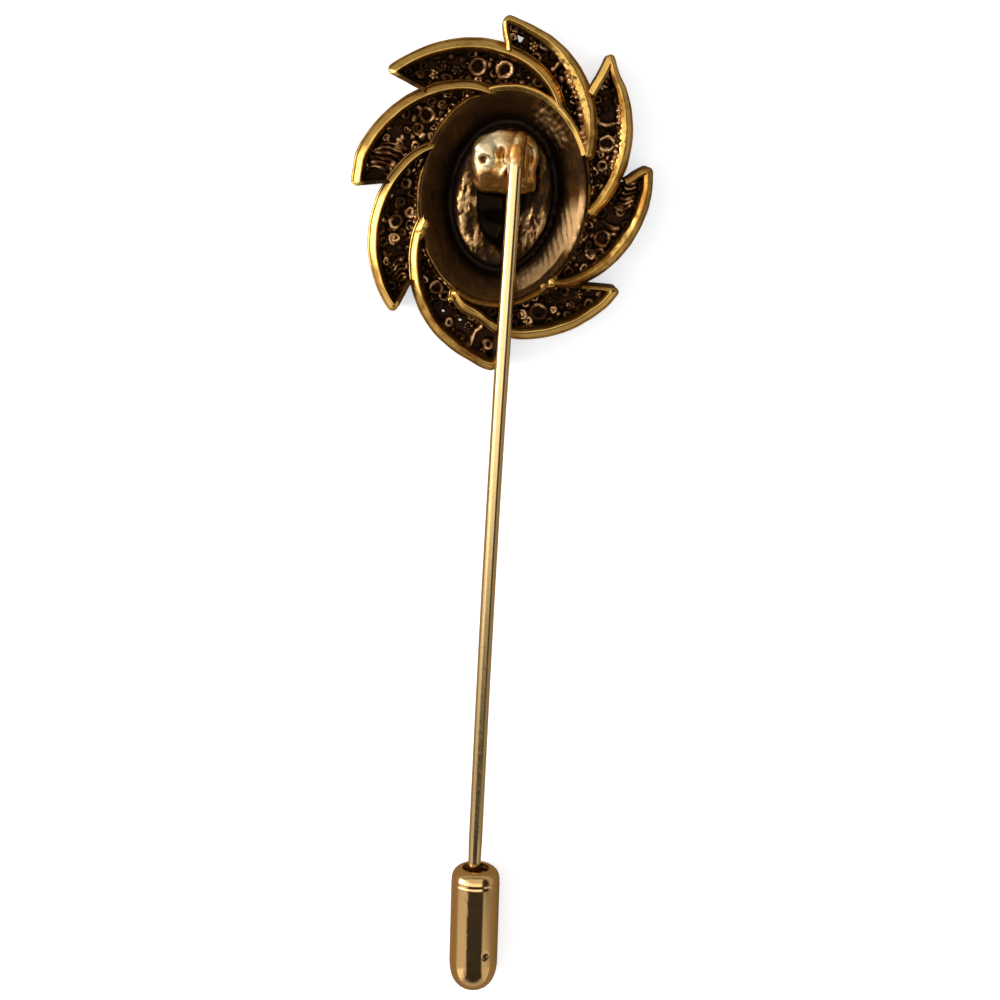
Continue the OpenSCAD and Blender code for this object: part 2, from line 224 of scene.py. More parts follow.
# The dish from its edge to the collar and down the hole, then its front. Columns: z, centre x, centre y,
# half width, half height, wear, which also sets how wide the painted light on the lit slopes is
DISH = [
    (3.30, 0, 0, 6.25, 7.95, 0.0), (3.95, 0, 0, 6.15, 7.85, 0.3), (4.08, 0, 0, 5.98, 7.68, 0.7),
    (4.03, 0, 0, 5.80, 7.50, 0.9), (3.84, 0, 0, 5.45, 7.12, 0.9), (3.62, 0, 0, 5.08, 6.74, 0.9),
    (3.40, 0, 0, 4.72, 6.36, 0.9), (3.16, 0, 0, 4.42, 6.04, 0.9), (2.80, 0, 0, 4.20, 5.80, 0.6),
    (2.45, 0, 0, 4.08, 5.66, 0.1), (2.35, 0, 0, 3.90, 5.46, 0.0), (2.40, 0, 0, 3.74, 5.29, 0.05),
    (2.65, 0, 0, 3.60, 5.14, 0.15), (3.40, 0, 0, 3.52, 5.06, 0.3), (4.20, 0, 0, 3.46, 5.01, 0.45),
    (4.52, 0, 0, 3.40, 4.94, 0.75), (4.68, 0, 0, 3.26, 4.80, 0.95), (4.72, 0.05, 0, 3.05, 4.58, 0.9),
    (4.68, 0.14, 0, 2.78, 4.28, 0.8), (4.62, 0.22, 0, 2.48, 3.98, 0.85), (4.50, 0.28, 0, 2.26, 3.78, 0.9),
    (4.22, 0.22, 0, 2.10, 3.62, 0.8), (3.60, 0.05, 0, 1.92, 3.42, 0.7), (3.00, -0.10, 0, 1.76, 3.28, 0.5),
    (2.40, -0.18, 0, 1.66, 3.20, 0.2), (1.93, -0.20, 0, 1.62, 3.16, 0.0),
    (1.93, 0, 0, 4.30, 6.00, 0.1), (0.50, 0, 0, 4.32, 6.02, 0.3), (0.36, 0, 0, 4.40, 6.10, 0.9),
    (0.36, 0, 0, 4.60, 6.30, 0.9), (0.50, 0, 0, 4.70, 6.40, 0.5), (0.92, 0, 0, 4.72, 6.42, 0.2),
    (0.92, 0, 0, 6.05, 7.75, 0.2), (1.05, 0, 0, 6.22, 7.92, 0.2),
]
# The dish's zones, with the first row that is past each
ZONES = (("edge", 4), ("dish", 12), ("collar", 19), ("hole", 26), ("front", len(DISH)))
# How worn each zone is all round, then arcs of painted light, made lighter where the lamp on the left lights
# the slopes. Columns of an arc: gain, start, end, softness
PATINA_AND_PAINTED_LIGHT = {
    "edge": (0.26, (0.60, 82, 116, 16)),
    "dish": (0.26, (0.70, 90, 156, 22), (0.30, 16, 50, 12)),
    "collar": (0.22, (0.55, 215, 285, 34), (0.42, 98, 130, 14)),
    "hole": (0.12, (0.75, 98, 150, 18), (0.12, 200, 250, 20)),
    "front": (1.0,),
}
# Arcs of the dish that are hatched and that are speckled: start, end, softness
HATCHED, SPECKLED = (88, 166, 20), (14, 52, 12)
# Painted highlights on the collar, on the faces that the lamp on the left lights. Columns: place on the head,
# half width, half length, gain
COLLAR_PAINTED_HIGHLIGHTS = [
    (-2.10, -0.63, 0.35, 0.45, 0.9), (-2.85, -1.20, 0.40, 0.90, 0.6), (-2.90, 0.20, 0.30, 0.60, 0.3),
    (2.07, -2.00, 0.32, 1.20, 0.8), (2.85, -1.30, 0.22, 0.90, 0.4), (-1.60, -3.20, 0.30, 0.90, 0.35),
]
HATCH_WAY, HATCH_PITCH = (0.95, 0.30), 0.42
HATCH_DEPTH, SPECK_DEPTH, BARK_DEPTH = 0.036, 0.14, 0.15
# The scales of the collar's bark, coarse and fine, and of the dish's speckle, along X, Y and Z
BARK_COARSE, BARK_FINE, SPECKLE = (2.8, 1.0, 1.2), (6.5, 2.6, 3.0), (3.2, 3.2, 1.0)
# The oval along which the dish's skin is roughest: its half width and half height
ROUGH_OVAL = (3.1, 4.6)
# Lumps of solder that run together into the pad. Columns: place from the solder's centre, z, three radii
SOLDER = [
    (-0.15, 2.40, 4.30, 2.30, 2.30, 0.95), (-1.45, 2.85, 4.72, 1.16, 1.55, 0.96),
    (-1.15, 1.05, 4.30, 1.40, 1.02, 0.72), (-0.30, 3.65, 4.70, 1.45, 0.95, 0.72),
    (0.15, 2.20, 4.72, 0.85, 1.30, 0.70), (-1.45, 1.85, 4.60, 1.04, 1.25, 0.90),
    (1.20, 1.30, 4.25, 1.00, 1.15, 0.68), (1.20, 3.20, 4.30, 1.05, 1.35, 0.72),
    (0.10, 0.95, 4.20, 1.60, 0.85, 0.66),
]
# Runs of solder: the radius and the points that the run follows
SOLDER_RUNS = [
    (0.56, [(0.82, 4.12, 5.70), (0.74, 3.50, 5.86), (0.66, 2.85, 5.86)]),
    (0.53, [(0.66, 2.85, 5.86), (0.61, 2.30, 5.83), (0.58, 1.90, 5.78)]),
    (0.34, [(0.60, 4.35, 4.95), (1.35, 4.15, 4.90), (1.88, 3.60, 4.85), (2.02, 2.80, 4.80),
            (1.88, 1.95, 4.72), (1.90, 1.10, 4.60), (1.92, 0.65, 4.45)]),
    (0.25, [(1.12, 3.90, 5.05), (1.36, 3.00, 5.00), (1.36, 2.10, 4.95), (1.28, 1.20, 4.75)]),
    (0.26, [(-2.10, 3.55, 4.75), (-1.45, 4.15, 4.82), (-0.60, 4.45, 4.85), (0.30, 4.45, 4.95)]),
    (0.24, [(0.05, 3.70, 5.22), (-0.10, 2.90, 5.30), (-0.02, 2.20, 5.22), (-0.30, 1.55, 5.10)]),
]
# Where the solder's centre lies, past the head's along X and Y
SOLDER_SHIFT = 0.1
# How fine the skin over the lumps is, and how strongly and how often it is smoothed
SOLDER_VOXEL, SOLDER_SETTLES = 0.07, (0.5, 24)
# How worn the solder is, and where light and shade are painted on it: highlights on the dome and on the
# ridge at its right, shade under the dome. Columns: place from the solder's centre, reach, gain
SOLDER_WEAR = 0.34
SOLDER_PAINTED_LIGHT = [
    (-1.40, 3.00, 1.20, 1.15), (-1.30, 1.80, 0.55, -0.25), (2.05, 3.30, 0.45, 0.30), (-0.15, 2.0, 0.5, 0.2),
]
# Pits in the solder. Columns: place from the solder's centre, radius, depth, how much darker
PITS = [
    (-1.80, 2.50, 0.30, 0.26, 1.5), (-0.42, 3.02, 0.42, 0.12, 0.6), (-0.45, 2.25, 0.26, 0.06, 0.4),
    (0.12, 1.60, 0.24, 0.10, 0.6),
]
# The stem. Columns: distance from its upper end, radius
STEM = [
    (-1.0, 0.10), (-0.8, 0.34), (0.7, 0.40), (0.95, 0.50), (1.15, 0.54), (17.8, 0.54), (19.2, 0.525),
    (53.6, 0.525), (55.0, 0.49), (62.0, 0.49), (62.4, 0.46), (63.4, 0.27), (64.3, 0.10), (64.6, 0.05),
]
STEM_BOW = 0.17
# The clutch's shell from its mouth over the nose and back inside. Columns: distance from the mouth, radius
CLUTCH = [
    (0.16, 1.03), (0.05, 1.05), (0.00, 1.12), (0.02, 1.24), (0.08, 1.40), (0.20, 1.57), (0.36, 1.72),
    (0.56, 1.82), (0.78, 1.875), (0.96, 1.89), (1.02, 1.872), (1.08, 1.865), (1.14, 1.885), (1.20, 1.90),
    (3.0, 1.90), (5.0, 1.90), (7.3, 1.90), (7.90, 1.897), (8.30, 1.875), (8.70, 1.82),
    (9.08, 1.725), (9.40, 1.60), (9.68, 1.425), (9.92, 1.205), (10.10, 0.950), (10.22, 0.670),
    (10.28, 0.350), (10.30, 0.010), (9.30, 0.010), (9.30, 0.95), (8.55, 1.42), (0.50, 1.44), (0.45, 1.06),
]
# A dark nick, by its distance from the mouth, its bearing and its size, and a line of fine scratches, by
# its bearing, its width and where it starts and ends. Bearings are from the shell's top toward +X, in
# degrees. The depths are shares of the radius
NICK, NICK_DEPTH = (6.8, 29, 0.22), 0.05
SCRATCHED, SCRATCH_DEPTH = (-21, 5, 1.3, 9.6), 0.008
CLUTCH_RADIUS, CLUTCH_INSIDE = 1.9, 1.6
CLUTCH_LEAN = math.radians(1.6)
CLUTCH_ASIDE = 0.13
# The stone's half width and half length, how high its back and its girdle lie, how far its dome falls below
# the girdle, and the rings of its back, as a share of its size, that are ground uneven
STONE_RX, STONE_RY, STONE_BACK, STONE_GIRDLE, DOME = 4.25, 5.95, 1.88, 1.15, 1.03
STONE_GROUND = (0.02, 0.08, 0.14, 0.20, 0.26, 0.32, 0.38, 0.44, 0.50, 0.56, 0.62, 0.72)
# The noise that moves the surfaces. Columns: how far, over what length, and the noise's shift
RIM_SKIN, SLOPE_GRAIN, LUMP_SKIN = (0.04, 1.1), (0.36, 3), (0.14, 0.45, 2)
WIRE_SKIN, WIRE_GRAIN = (0.12, 0.7, 4), (0.06, 0.25, 9)
DISH_SKIN, DISH_GRAIN = (0.05, 1.6), (0.05, 0.5, 5)
SOLDER_SKIN, SOLDER_GRAIN = (0.13, 1.0, 3), (0.02, 0.25, 8)


def add_object(name, data):
    added = bpy.data.objects.new(name, data)
    bpy.context.scene.collection.objects.link(added)
    return added


def meshed(maker):
    """An object's points, normals and faces as it comes out. The object itself is removed."""
    made = maker.evaluated_get(bpy.context.evaluated_depsgraph_get())
    mesh = made.to_mesh()
    points = np.array([v.co[:] for v in mesh.vertices])
    normals = np.array([v.normal[:] for v in mesh.vertices])
    faces = [list(p.vertices) for p in mesh.polygons]
    made.to_mesh_clear()
    data = maker.data
    bpy.data.objects.remove(maker)
    bpy.data.batch_remove([data])
    return points, normals, faces


class Shape:
    """Points in millimetres with faces, and how worn each point is, from a dark hollow to a bright crest. In
    places the same value also paints light and shade.
    """

    def __init__(self):
        self.points, self.wear, self.faces, self.count = [], [], [], 0

    def grid(self, rows, wear, closed_rows=False, closed_across=False, caps=False):
        """Rows of points, each row as long as the first. closed_rows joins the last row to the first."""
        rows = np.asarray(rows, float)
        r, n, _ = rows.shape
        at = np.arange(r * n).reshape(r, n) + self.count
        a = at if closed_rows else at[:-1]
        b = np.roll(at, -1, 0) if closed_rows else at[1:]
        if closed_across:
            quads = np.stack([a, np.roll(a, -1, 1), np.roll(b, -1, 1), b], -1)
        else:
            quads = np.stack([a[:, :-1], a[:, 1:], b[:, 1:], b[:, :-1]], -1)
        self.faces += quads.reshape(-1, 4).tolist()
        if caps and closed_across:
            self.faces += [at[0, ::-1].tolist(), at[-1].tolist()]
        if caps and closed_rows:
            self.faces += [at[:, 0].tolist(), at[::-1, -1].tolist()]
        self.points.append(rows.reshape(-1, 3))
        self.wear.append(np.broadcast_to(wear, (r, n)).reshape(-1))
        self.count += r * n

    def mesh(self, points, faces, wear):
        self.faces += [[v + self.count for v in f] for f in faces]
        self.points.append(np.asarray(points, float))
        self.wear.append(np.broadcast_to(wear, (len(points),)))
        self.count += len(points)

    def build(self, name, body, slot, replaced, move=None, soft_edge=50):
        points = np.concatenate(self.points)
        if move:
            points = move(points)
        mesh = bpy.data.meshes.new(name)
        mesh.from_pydata((points * MM).tolist(), [], self.faces)
        kept = mesh.attributes.new("wear", "FLOAT", "POINT")
        kept.data.foreach_set("value", np.concatenate(self.wear).astype(np.float32))
        mesh.validate()
        mesh.shade_smooth()
        mesh.set_sharp_from_angle(angle=math.radians(soft_edge))
        piece = add_object(name, mesh)
        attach(piece, body)
        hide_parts(replaced)
        return piece


def on_head(points):
    """From the head's own axes to the pin's."""
    x, y, z = np.asarray(points, float).T
    c, s = math.cos(HEAD_TURN), math.sin(HEAD_TURN)
    return np.stack([x * c + y * s + HEAD_AT[0], -x * s + y * c + HEAD_AT[1], z], -1)


def on_stem(points, lean=0.0, pivot=0.0):
    """From the stem's axes, with Z along it toward the point, to the pin's. lean turns about the pivot."""
    p = Vector((0, 0, pivot))
    turn = (
        Matrix.Translation(Vector(STEM_TOP))
        @ Matrix.Rotation(math.pi / 2 + STEM_SLOPE, 4, "X")
        @ Matrix.Translation(p)
        @ Matrix.Rotation(lean, 4, "Y")
        @ Matrix.Translation(-p)
    )
    m = np.array(turn)
    return np.asarray(points, float) @ m[:3, :3].T + m[:3, 3]


def on_point(points):
    """From the clutch's axes to the pin's: over the point, a little aside and leaning."""
    return on_stem(points + np.array([CLUTCH_ASIDE, 0, CLUTCH_OUT]), CLUTCH_LEAN, CLUTCH_OUT)


def roughen(points, amount, size, seed=0.0):
    """Moves each point a little, as the skin of a casting wanders."""
    moved = points.copy()
    for k, p in enumerate(points):
        v = Vector((p[0] / size + seed, p[1] / size, p[2] / size))
        moved[k] += np.array(noise.noise_vector(v)) * amount
    return moved


def noise_at(points, scale):
    """Noise at each point. The scale is one number or one for each axis."""
    return np.array([noise.noise(Vector(p)) for p in points * np.asarray(scale, float)])


def spread(off, width):
    """1 in the middle, falling off like a bell."""
    return np.exp(-((off / width) ** 2))


def oval(a, rx, ry, z, x=0, y=0):
    """Points of a level oval, clockwise from +Y."""
    return np.stack([x + rx * np.sin(a), y + ry * np.cos(a), np.full(len(a), z)], -1)


def turns(count):
    """Angles all the way round, without the last one, which is the first."""
    return np.linspace(0, 2 * np.pi, count, endpoint=False)


def heading(a):
    """The plane unit vector at this angle."""
    return np.stack([np.cos(a), np.sin(a)], -1)


def right_of(way):
    """Plane vectors turned a quarter to the right."""
    return np.stack([way[..., 1], -way[..., 0]], -1)


def unit(way):
    return way / np.linalg.norm(way, axis=-1, keepdims=True)


def crossed(a, b):
    return a[..., 0] * b[..., 1] - a[..., 1] * b[..., 0]


# ---------------------------------------------------------------- the leaves' plan
def normal_at(phi):
    """The way straight out from the dish's edge at this bearing."""
    a = np.radians(phi)
    return unit(np.stack([np.sin(a) / DISH_RX, np.cos(a) / DISH_RY], -1))


def beyond(phi, u):
    """The point that lies this far straight out from the dish's edge."""
    a = np.radians(phi)
    foot = np.stack([DISH_RX * np.sin(a), DISH_RY * np.cos(a)], -1)
    return foot + normal_at(phi) * np.asarray(u)[..., None]


def ease(t):
    t = np.clip(t, 0, 1)
    return t * t * (3 - 2 * t)


def cast_reach(name, s):
    """The reach of a leaf's outer edge as it was cast, a little off the plan."""
    leaf, side, push = LEAVES[name], RIMS[name][SIDE_OUT], TIPS[name][PUSH]
    t = np.clip(s, 0, 1)
    plan = leaf[END_REACH] + (leaf[REACH] - leaf[END_REACH]) * (1 - t ** leaf[BULGE])
    moved = side * (1 - ease((t - SIDE_FADE[0]) / SIDE_FADE[1])) + (push - side) * spread(t, TIP_LENGTH)
    depth, at, length = DIPS.get(name, (0, 0, 1))
    return plan + moved - depth * spread(t - at, length)


def share(name, s):
    """The rim's width here against the section's."""
    tip, side = RIMS[name][AT_TIP], RIMS[name][AT_SIDE]
    return (tip + (side - tip) * ease(np.asarray(s, float) / WIDENS_OVER)) / FULL


def across(name, inset):
    """The section's inset, moved so that the ridge lies where this leaf has it."""
    ridge = RIMS[name][RIDGE_AT]
    if inset <= RIDGE:
        return inset * ridge / RIDGE
    return ridge + (inset - RIDGE) * (FULL - ridge) / (FULL - RIDGE)


def inner_line(leaf, s):
    """Where the inner edge of a leaf's frame runs, from the dish's edge inward at its end."""
    turned = ease((np.asarray(s, float) - TURNS_IN[0]) / TURNS_IN[1])
    return INNER_AT + (leaf[INNER_END] - INNER_AT) * turned


def leaf_before(name):
    return NAMES[NAMES.index(name) - 1]


def before_at(name, phi):
    """The reach of the leaf before, at these bearings, and 0 past its end."""
    before = leaf_before(name)
    s = np.mod(np.asarray(phi, float) - LEAVES[before][TIP], 360) / LEAVES[before][SWEEP]
    return np.where(s >= 1, 0.0, cast_reach(before, s))


def run_along(line):
    """How far along the line each of its points is."""
    steps = np.linalg.norm(np.diff(line, axis=0), axis=1)
    return np.concatenate([[0], np.cumsum(steps)])


def points_at(line, at):
    """The points that lie this far along a plane line."""
    run = run_along(line)
    return np.stack([np.interp(at, run, line[:, k]) for k in range(2)], -1)


def resample(line, count):
    return points_at(line, np.linspace(0, run_along(line)[-1], count))


def cut_back(line, length):
    """The line without its last stretch of this length."""
    run = run_along(line)
    stop = max(run[-1] - length, run[-1] * 0.1)
    return np.vstack([line[run < stop], points_at(line, stop)])


def crossing(a, b):
    """Where line a first meets line b: the parts of a before it and of b after it."""
    p, r = a[:-1, None], (a[1:] - a[:-1])[:, None]
    q, s = b[None, :-1], (b[1:] - b[:-1])[None]
    apart = crossed(r, s)
    apart = np.where(abs(apart) < 1e-12, 1e-12, apart)
    t, u = crossed(q - p, s) / apart, crossed(q - p, r) / apart
    hit = np.argwhere((t >= 0) & (t <= 1) & (u >= 0) & (u <= 1))
    i, j = hit[0] if len(hit) else (len(a) - 2, 0)
    meet = a[i] + (a[i + 1] - a[i]) * (t[i, j] if len(hit) else 1)
    return np.vstack([a[: i + 1], meet]), np.vstack([meet, b[j + 1 :]])


# How far the rounding of a tip reaches into its corner, from 0 for a flat cut to 1 for a near point
NOSE_PULL = 0.6
# How far from its corner a tip's rounding starts, how much less that is for each millimetre of inset, and
# the least
ROUND_FROM, ROUND_LESS, ROUND_LEAST = 0.58, 0.45, 0.10
# How many points the line round a rim has on each of its parts
EDGE_STEPS, NOSE_STEPS, OUTER_STEPS, CAP_STEPS, INNER_STEPS = 12, 11, 84, 11, 34


def end_share(name, d):
    """How far along the leaf its two rims meet, for the line at this inset."""
    leaf = LEAVES[name]
    low, high = 0.2, 1.0

    def gap(s):
        rims = d * share(name, s) * (1 + leaf[INNER_WIDTH])
        return cast_reach(name, s) - rims - inner_line(leaf, s) - 0.04

    if gap(1.0) > 0:
        return 1.0
    for _ in range(40):
        mid = (low + high) / 2
        low, high = (mid, high) if gap(mid) > 0 else (low, mid)
    return low


def tip_frame(name):
    """A tip's corner, the foot of its edge, and the way in from the edge."""
    tip, row = LEAVES[name][TIP], TIPS[name]
    corner = beyond(tip + row[CORNER_AT], row[CORNER_REACH])
    foot = beyond(tip + row[FOOT_AT], row[FOOT_REACH])
    return corner, foot, -right_of(unit(foot - corner))


def tip_edge(name, d):
    """The line at inset d along a tip's edge, from below its foot to beyond its corner."""
    corner, foot, inward = tip_frame(name)
    t = np.linspace(1.25, -0.45, 50)[:, None]
    up = np.clip(t, 0, 1)
    out = 0.12 * (1 - up) + TIPS[name][BOW] * np.sin(np.pi * up)
    return corner + (foot - corner) * t + inward * (d * TIPS[name][EDGE_WIDTH] / FULL - out)


def leaf_path(name, d):
    """The line round a leaf's rim at inset d: up the tip's edge, along the outside, and back inside."""
    leaf = LEAVES[name]
    tip, sweep, inner_width = leaf[TIP], leaf[SWEEP], leaf[INNER_WIDTH]
    s_end = end_share(name, d)
    s = np.linspace(-0.14, s_end, 220)
    outer = beyond(tip + s * sweep, cast_reach(name, s) - d * share(name, s))
    edge, outer = crossing(tip_edge(name, d), outer)
    corner = edge[-1]
    back = max(ROUND_FROM - ROUND_LESS * d, ROUND_LEAST)
    edge = cut_back(edge, back)
    outer = cut_back(outer[::-1], back)[::-1]
    k = np.linspace(0, 1, NOSE_STEPS + 2)[1:-1, None]
    pull = 2 * NOSE_PULL * k * (1 - k)
    nose = (edge[-1] * (1 - k) ** 2 + corner * pull + outer[0] * k**2) / ((1 - k) ** 2 + pull + k**2)
    end = tip + s_end * sweep
    thin = float(share(name, s_end))
    high, low = cast_reach(name, s_end) - d * thin, inner_line(leaf, s_end) + inner_width * d * thin
    half, mid = (high - low) / 2, (high + low) / 2
    a = np.linspace(np.pi / 2, -np.pi / 2, CAP_STEPS + 2)[1:-1]
    cap = beyond(np.full(CAP_STEPS, end), mid + half * np.sin(a))
    cap = cap + right_of(normal_at(np.full(CAP_STEPS, end))) * (half * np.cos(a) * 0.9)[:, None]
    before = LEAVES[leaf_before(name)]
    start = (np.mod(before[TIP] + before[SWEEP] - tip, 360)) / sweep - 0.06
    s = np.linspace(s_end, min(start, s_end - 0.05), 60)
    inner = beyond(tip + s * sweep, inner_line(leaf, s) + inner_width * d * np.maximum(share(name, s), thin))
    return np.vstack([
        resample(edge, EDGE_STEPS), nose, resample(outer, OUTER_STEPS), cap, resample(inner, INNER_STEPS),
    ])


def facet_rise(name):
    """How high the facet stands along the line, against the section, so that it keeps its slope."""
    wide = share(name, np.linspace(0, 1, OUTER_STEPS))
    edge = TIPS[name][EDGE_WIDTH] / FULL * (0.2 if RIMS[name][EDGE_LIGHT_AND_WEAR] > 0.7 else 1.0)
    inner = FLAT_RISE if name in FLAT_INNER else max(LEAVES[name][INNER_WIDTH] * wide[-1], LEAST_RISE)
    parts = [
        np.full(EDGE_STEPS, edge), np.linspace(edge, wide[0], NOSE_STEPS), wide,
        np.full(CAP_STEPS, wide[-1]), np.full(INNER_STEPS, inner),
    ]
    return np.concatenate(parts) * RIMS[name][RIDGE_AT] / RIDGE


def place(name, s, w):
    """A point of a leaf's floor: s along it and w from the dish's side to the outer rim."""
    leaf = LEAVES[name]
    phi = leaf[TIP] + np.asarray(s, float) * leaf[SWEEP]
    low = np.maximum(before_at(name, phi) + PAST_BEFORE, OUT_LEAST)
    high = np.maximum(cast_reach(name, s) - UNDER_RIM * share(name, s), low + 0.1)
    return beyond(phi, low + (high - low) * np.asarray(w, float))


def make_rims():
    shape = Shape()
    for name, leaf in LEAVES.items():
        facet, slope, edge_light_and_wear = (RIMS[name][column] for column in (FACET_LIGHT_AND_WEAR, SLOPE_LIGHT_AND_WEAR, EDGE_LIGHT_AND_WEAR))
        rise = facet_rise(name)
        end = -INNER_STEPS - CAP_STEPS
        fall = np.full(len(rise), RIMS[name][FALL])
        fall[end:] = INNER_FALL
        drop = np.zeros(len(rise))
        drop[-INNER_STEPS:] = leaf[INNER_HEIGHT]
        drop[end:-INNER_STEPS] = np.linspace(0, leaf[INNER_HEIGHT], CAP_STEPS)
        rows = []
        for inset, z, wear in RIM_SECTION:
            line = leaf_path(name, across(name, inset))
            high = np.full(len(rise), z)
            if z > FACET_FROM and inset <= RIDGE:
                high = CREST - (CREST - z) * rise
            elif z > FALL_FROM:
                high = CREST - (CREST - z) * fall
            rows.append(np.column_stack([line, high + drop * np.clip((z - 2.6) / 1.8, 0, 1)]))
        wear = np.array([row[2] for row in RIM_SECTION])[:, None] * np.ones(len(drop))
        start, stop, rough = ROUGH_SLOPES.get(name, (0, 1, 0))
        along = np.zeros(len(drop))
        along[EDGE_STEPS + NOSE_STEPS : end] = np.linspace(0, 1, OUTER_STEPS)
        along[end:] = 1
        bright = np.ones(len(along))
        if rough:
            bright = ease((along - start) / SLOPE_ENDS) * ease((stop - along) / SLOPE_ENDS)
        dull = DULL_SLOPE if rough else facet
        slopes = dull + (slope - dull) * bright
        # Facet and slope follow the leaf's table, which paints a highlight on faces turned to the lamp on the
        # left
        wear *= facet + (slopes - facet) * ease((np.arange(len(wear)) - SLOPE_FROM + 3) / 6)[:, None]
        wear[:, -INNER_STEPS - 4 :] *= 1.2 / facet if name in FLAT_INNER else DARK_INNER
        if name in DULL_UNTIL:
            wear *= 1 - DULLER * ease((DULL_UNTIL[name] - along) / 0.2)
        # The tip's edge: painted shade where it is a shadowed wall, a painted highlight where it is lit
        wear[:, : EDGE_STEPS - 2] *= edge_light_and_wear / facet
        shape.grid(rows, wear, closed_rows=True, caps=True)
        plain = shape.points[-1]
        share_of = (np.arange(len(wear)) >= SLOPE_FROM - 2)[:, None] * bright
        shape.points[-1] = plain + (roughen(plain, rough, *SLOPE_GRAIN) - plain) * share_of.reshape(-1, 1)
    for k, p in enumerate(shape.points):
        shape.points[k] = roughen(p, *RIM_SKIN)
        shape.points[k][:, 2] = np.clip(shape.points[k][:, 2], 0.0, None)
    for x, y, z, r, wear in LUMPS:
        blob(shape, (x, y, z), (r, r * 1.2, r * 0.6), wear, 16)
        shape.points[-1] = roughen(shape.points[-1], *LUMP_SKIN)
    return shape


def blob(shape, centre, radii, wear, sides=12):
    """A ball, or a squashed one where three radii are given."""
    radii = np.broadcast_to(radii, 3)
    up = np.linspace(0.02, np.pi - 0.02, sides // 2 + 2)
    round_ = turns(sides)
    rows = [
        np.stack([
            centre[0] + radii[0] * np.sin(a) * np.cos(round_),
            centre[1] - radii[1] * np.sin(a) * np.sin(round_),
            np.full(sides, centre[2] + radii[2] * np.cos(a)),
        ], -1)
        for a in up
    ]
    shade = wear * np.clip(0.55 + 0.6 * np.cos(up), 0, 1)[:, None]
    shape.grid(rows, shade, closed_across=True, caps=True)


def wall_wire(shape, line, width, top, closed=False, beads=0.0, wear=1.0):
    """A wire on edge: straight sides up from its foot and a rounded top, plain or in beads."""
    line = np.asarray(line, float)
    ahead = np.roll(line, -1, 0) - np.roll(line, 1, 0)
    if not closed:
        ahead[0], ahead[-1] = line[1] - line[0], line[-1] - line[-2]
    ahead /= np.linalg.norm(ahead, axis=1, keepdims=True) + 1e-12
    side = right_of(ahead)
    swell = np.abs(np.cos(np.pi * run_along(line) / beads)) if beads else np.ones(len(line))
    rows, shades = [], []
    for offset, below, shade in WALL_SECTION:
        wide = width * (0.62 + 0.38 * swell)
        z = np.full(len(line), FOOT)
        if below is not None:
            z = top - (1 - swell) * width * 0.45 - below * width
        rows.append(np.column_stack([line + side * (offset * wide)[:, None], z]))
        shades.append(shade * wear * (0.45 + 0.55 * swell))
    rows, shades = np.array(rows), np.array(shades)
    if closed:
        rows = np.concatenate([rows, rows[:, :1]], 1)
        shades = np.concatenate([shades, shades[:, :1]], 1)
    shape.grid(rows, shades, closed_rows=True, caps=not closed)


def curl(shape, centre, size, turn, top, width, wear):
    a = np.linspace(0, 2.2 * np.pi, 20)
    grow = size * (0.35 + 0.65 * a / a[-1])
    wall_wire(shape, centre + heading(a + turn) * grow[:, None], width, top, wear=wear)


def corners_at(name, way):
    s, u = np.array(way).T
    return beyond(LEAVES[name][TIP] + s * LEAVES[name][SWEEP], u)


def openings_of(name):
    return [corners_at(name, way) for leaf, way in OPENINGS if leaf == name]


def off_edge(name, point, size):
    """The point, moved in from the tip's edge where it lies too near for this size, and by how much."""
    corner, _, inward = tip_frame(name)
    lack = max(0.0, size * KEEP_OFF + EDGE_ROOM - float((point - corner) @ inward))
    return point + inward * lack, lack


def fill_between(shape, name, rows, dice):
    """Small curls and granules, set close together wherever the main motifs leave room."""
    taken = [(place(name, s, w), size * 1.1) for kind, s, w, size in rows if kind != "ribs"]
    taken += [(np.mean(corners, axis=0), 0.30) for corners in openings_of(name)]
    ribs = [(s, w) for kind, s, w, size in rows if kind == "ribs"]
    taken += [(place(name, s + k * 0.045, w), 0.25) for s, w in ribs for k in (-1, 0, 1)]
    for radius, tries in FILLING:
        for _ in range(tries):
            s, w = dice.uniform(0.03, 0.90), dice.uniform(-0.05, 1.05)
            c = place(name, s, w)
            low, high = place(name, s, 0.0), place(name, s, 1.0)
            if np.linalg.norm(high - low) < 0.35 or off_edge(name, c, radius)[1] > 0:
                continue
            if any(np.linalg.norm(c - other) < (radius + size) * CROWDING for other, size in taken):
                continue
            taken.append((c, radius))
            top = WIRE_TOP - dice.uniform(*FILLING_DEPTH)
            shade = dice.choice(FILLING_SHADES)
            if radius > CURLS_ABOVE:
                turn, width = dice.uniform(0, 6.28), dice.uniform(0.32, 0.44)
                curl(shape, c, radius - 0.14, turn, top, width, shade)
            else:
                blob(shape, (*c, top - radius), (radius, radius * 1.15, radius), shade)


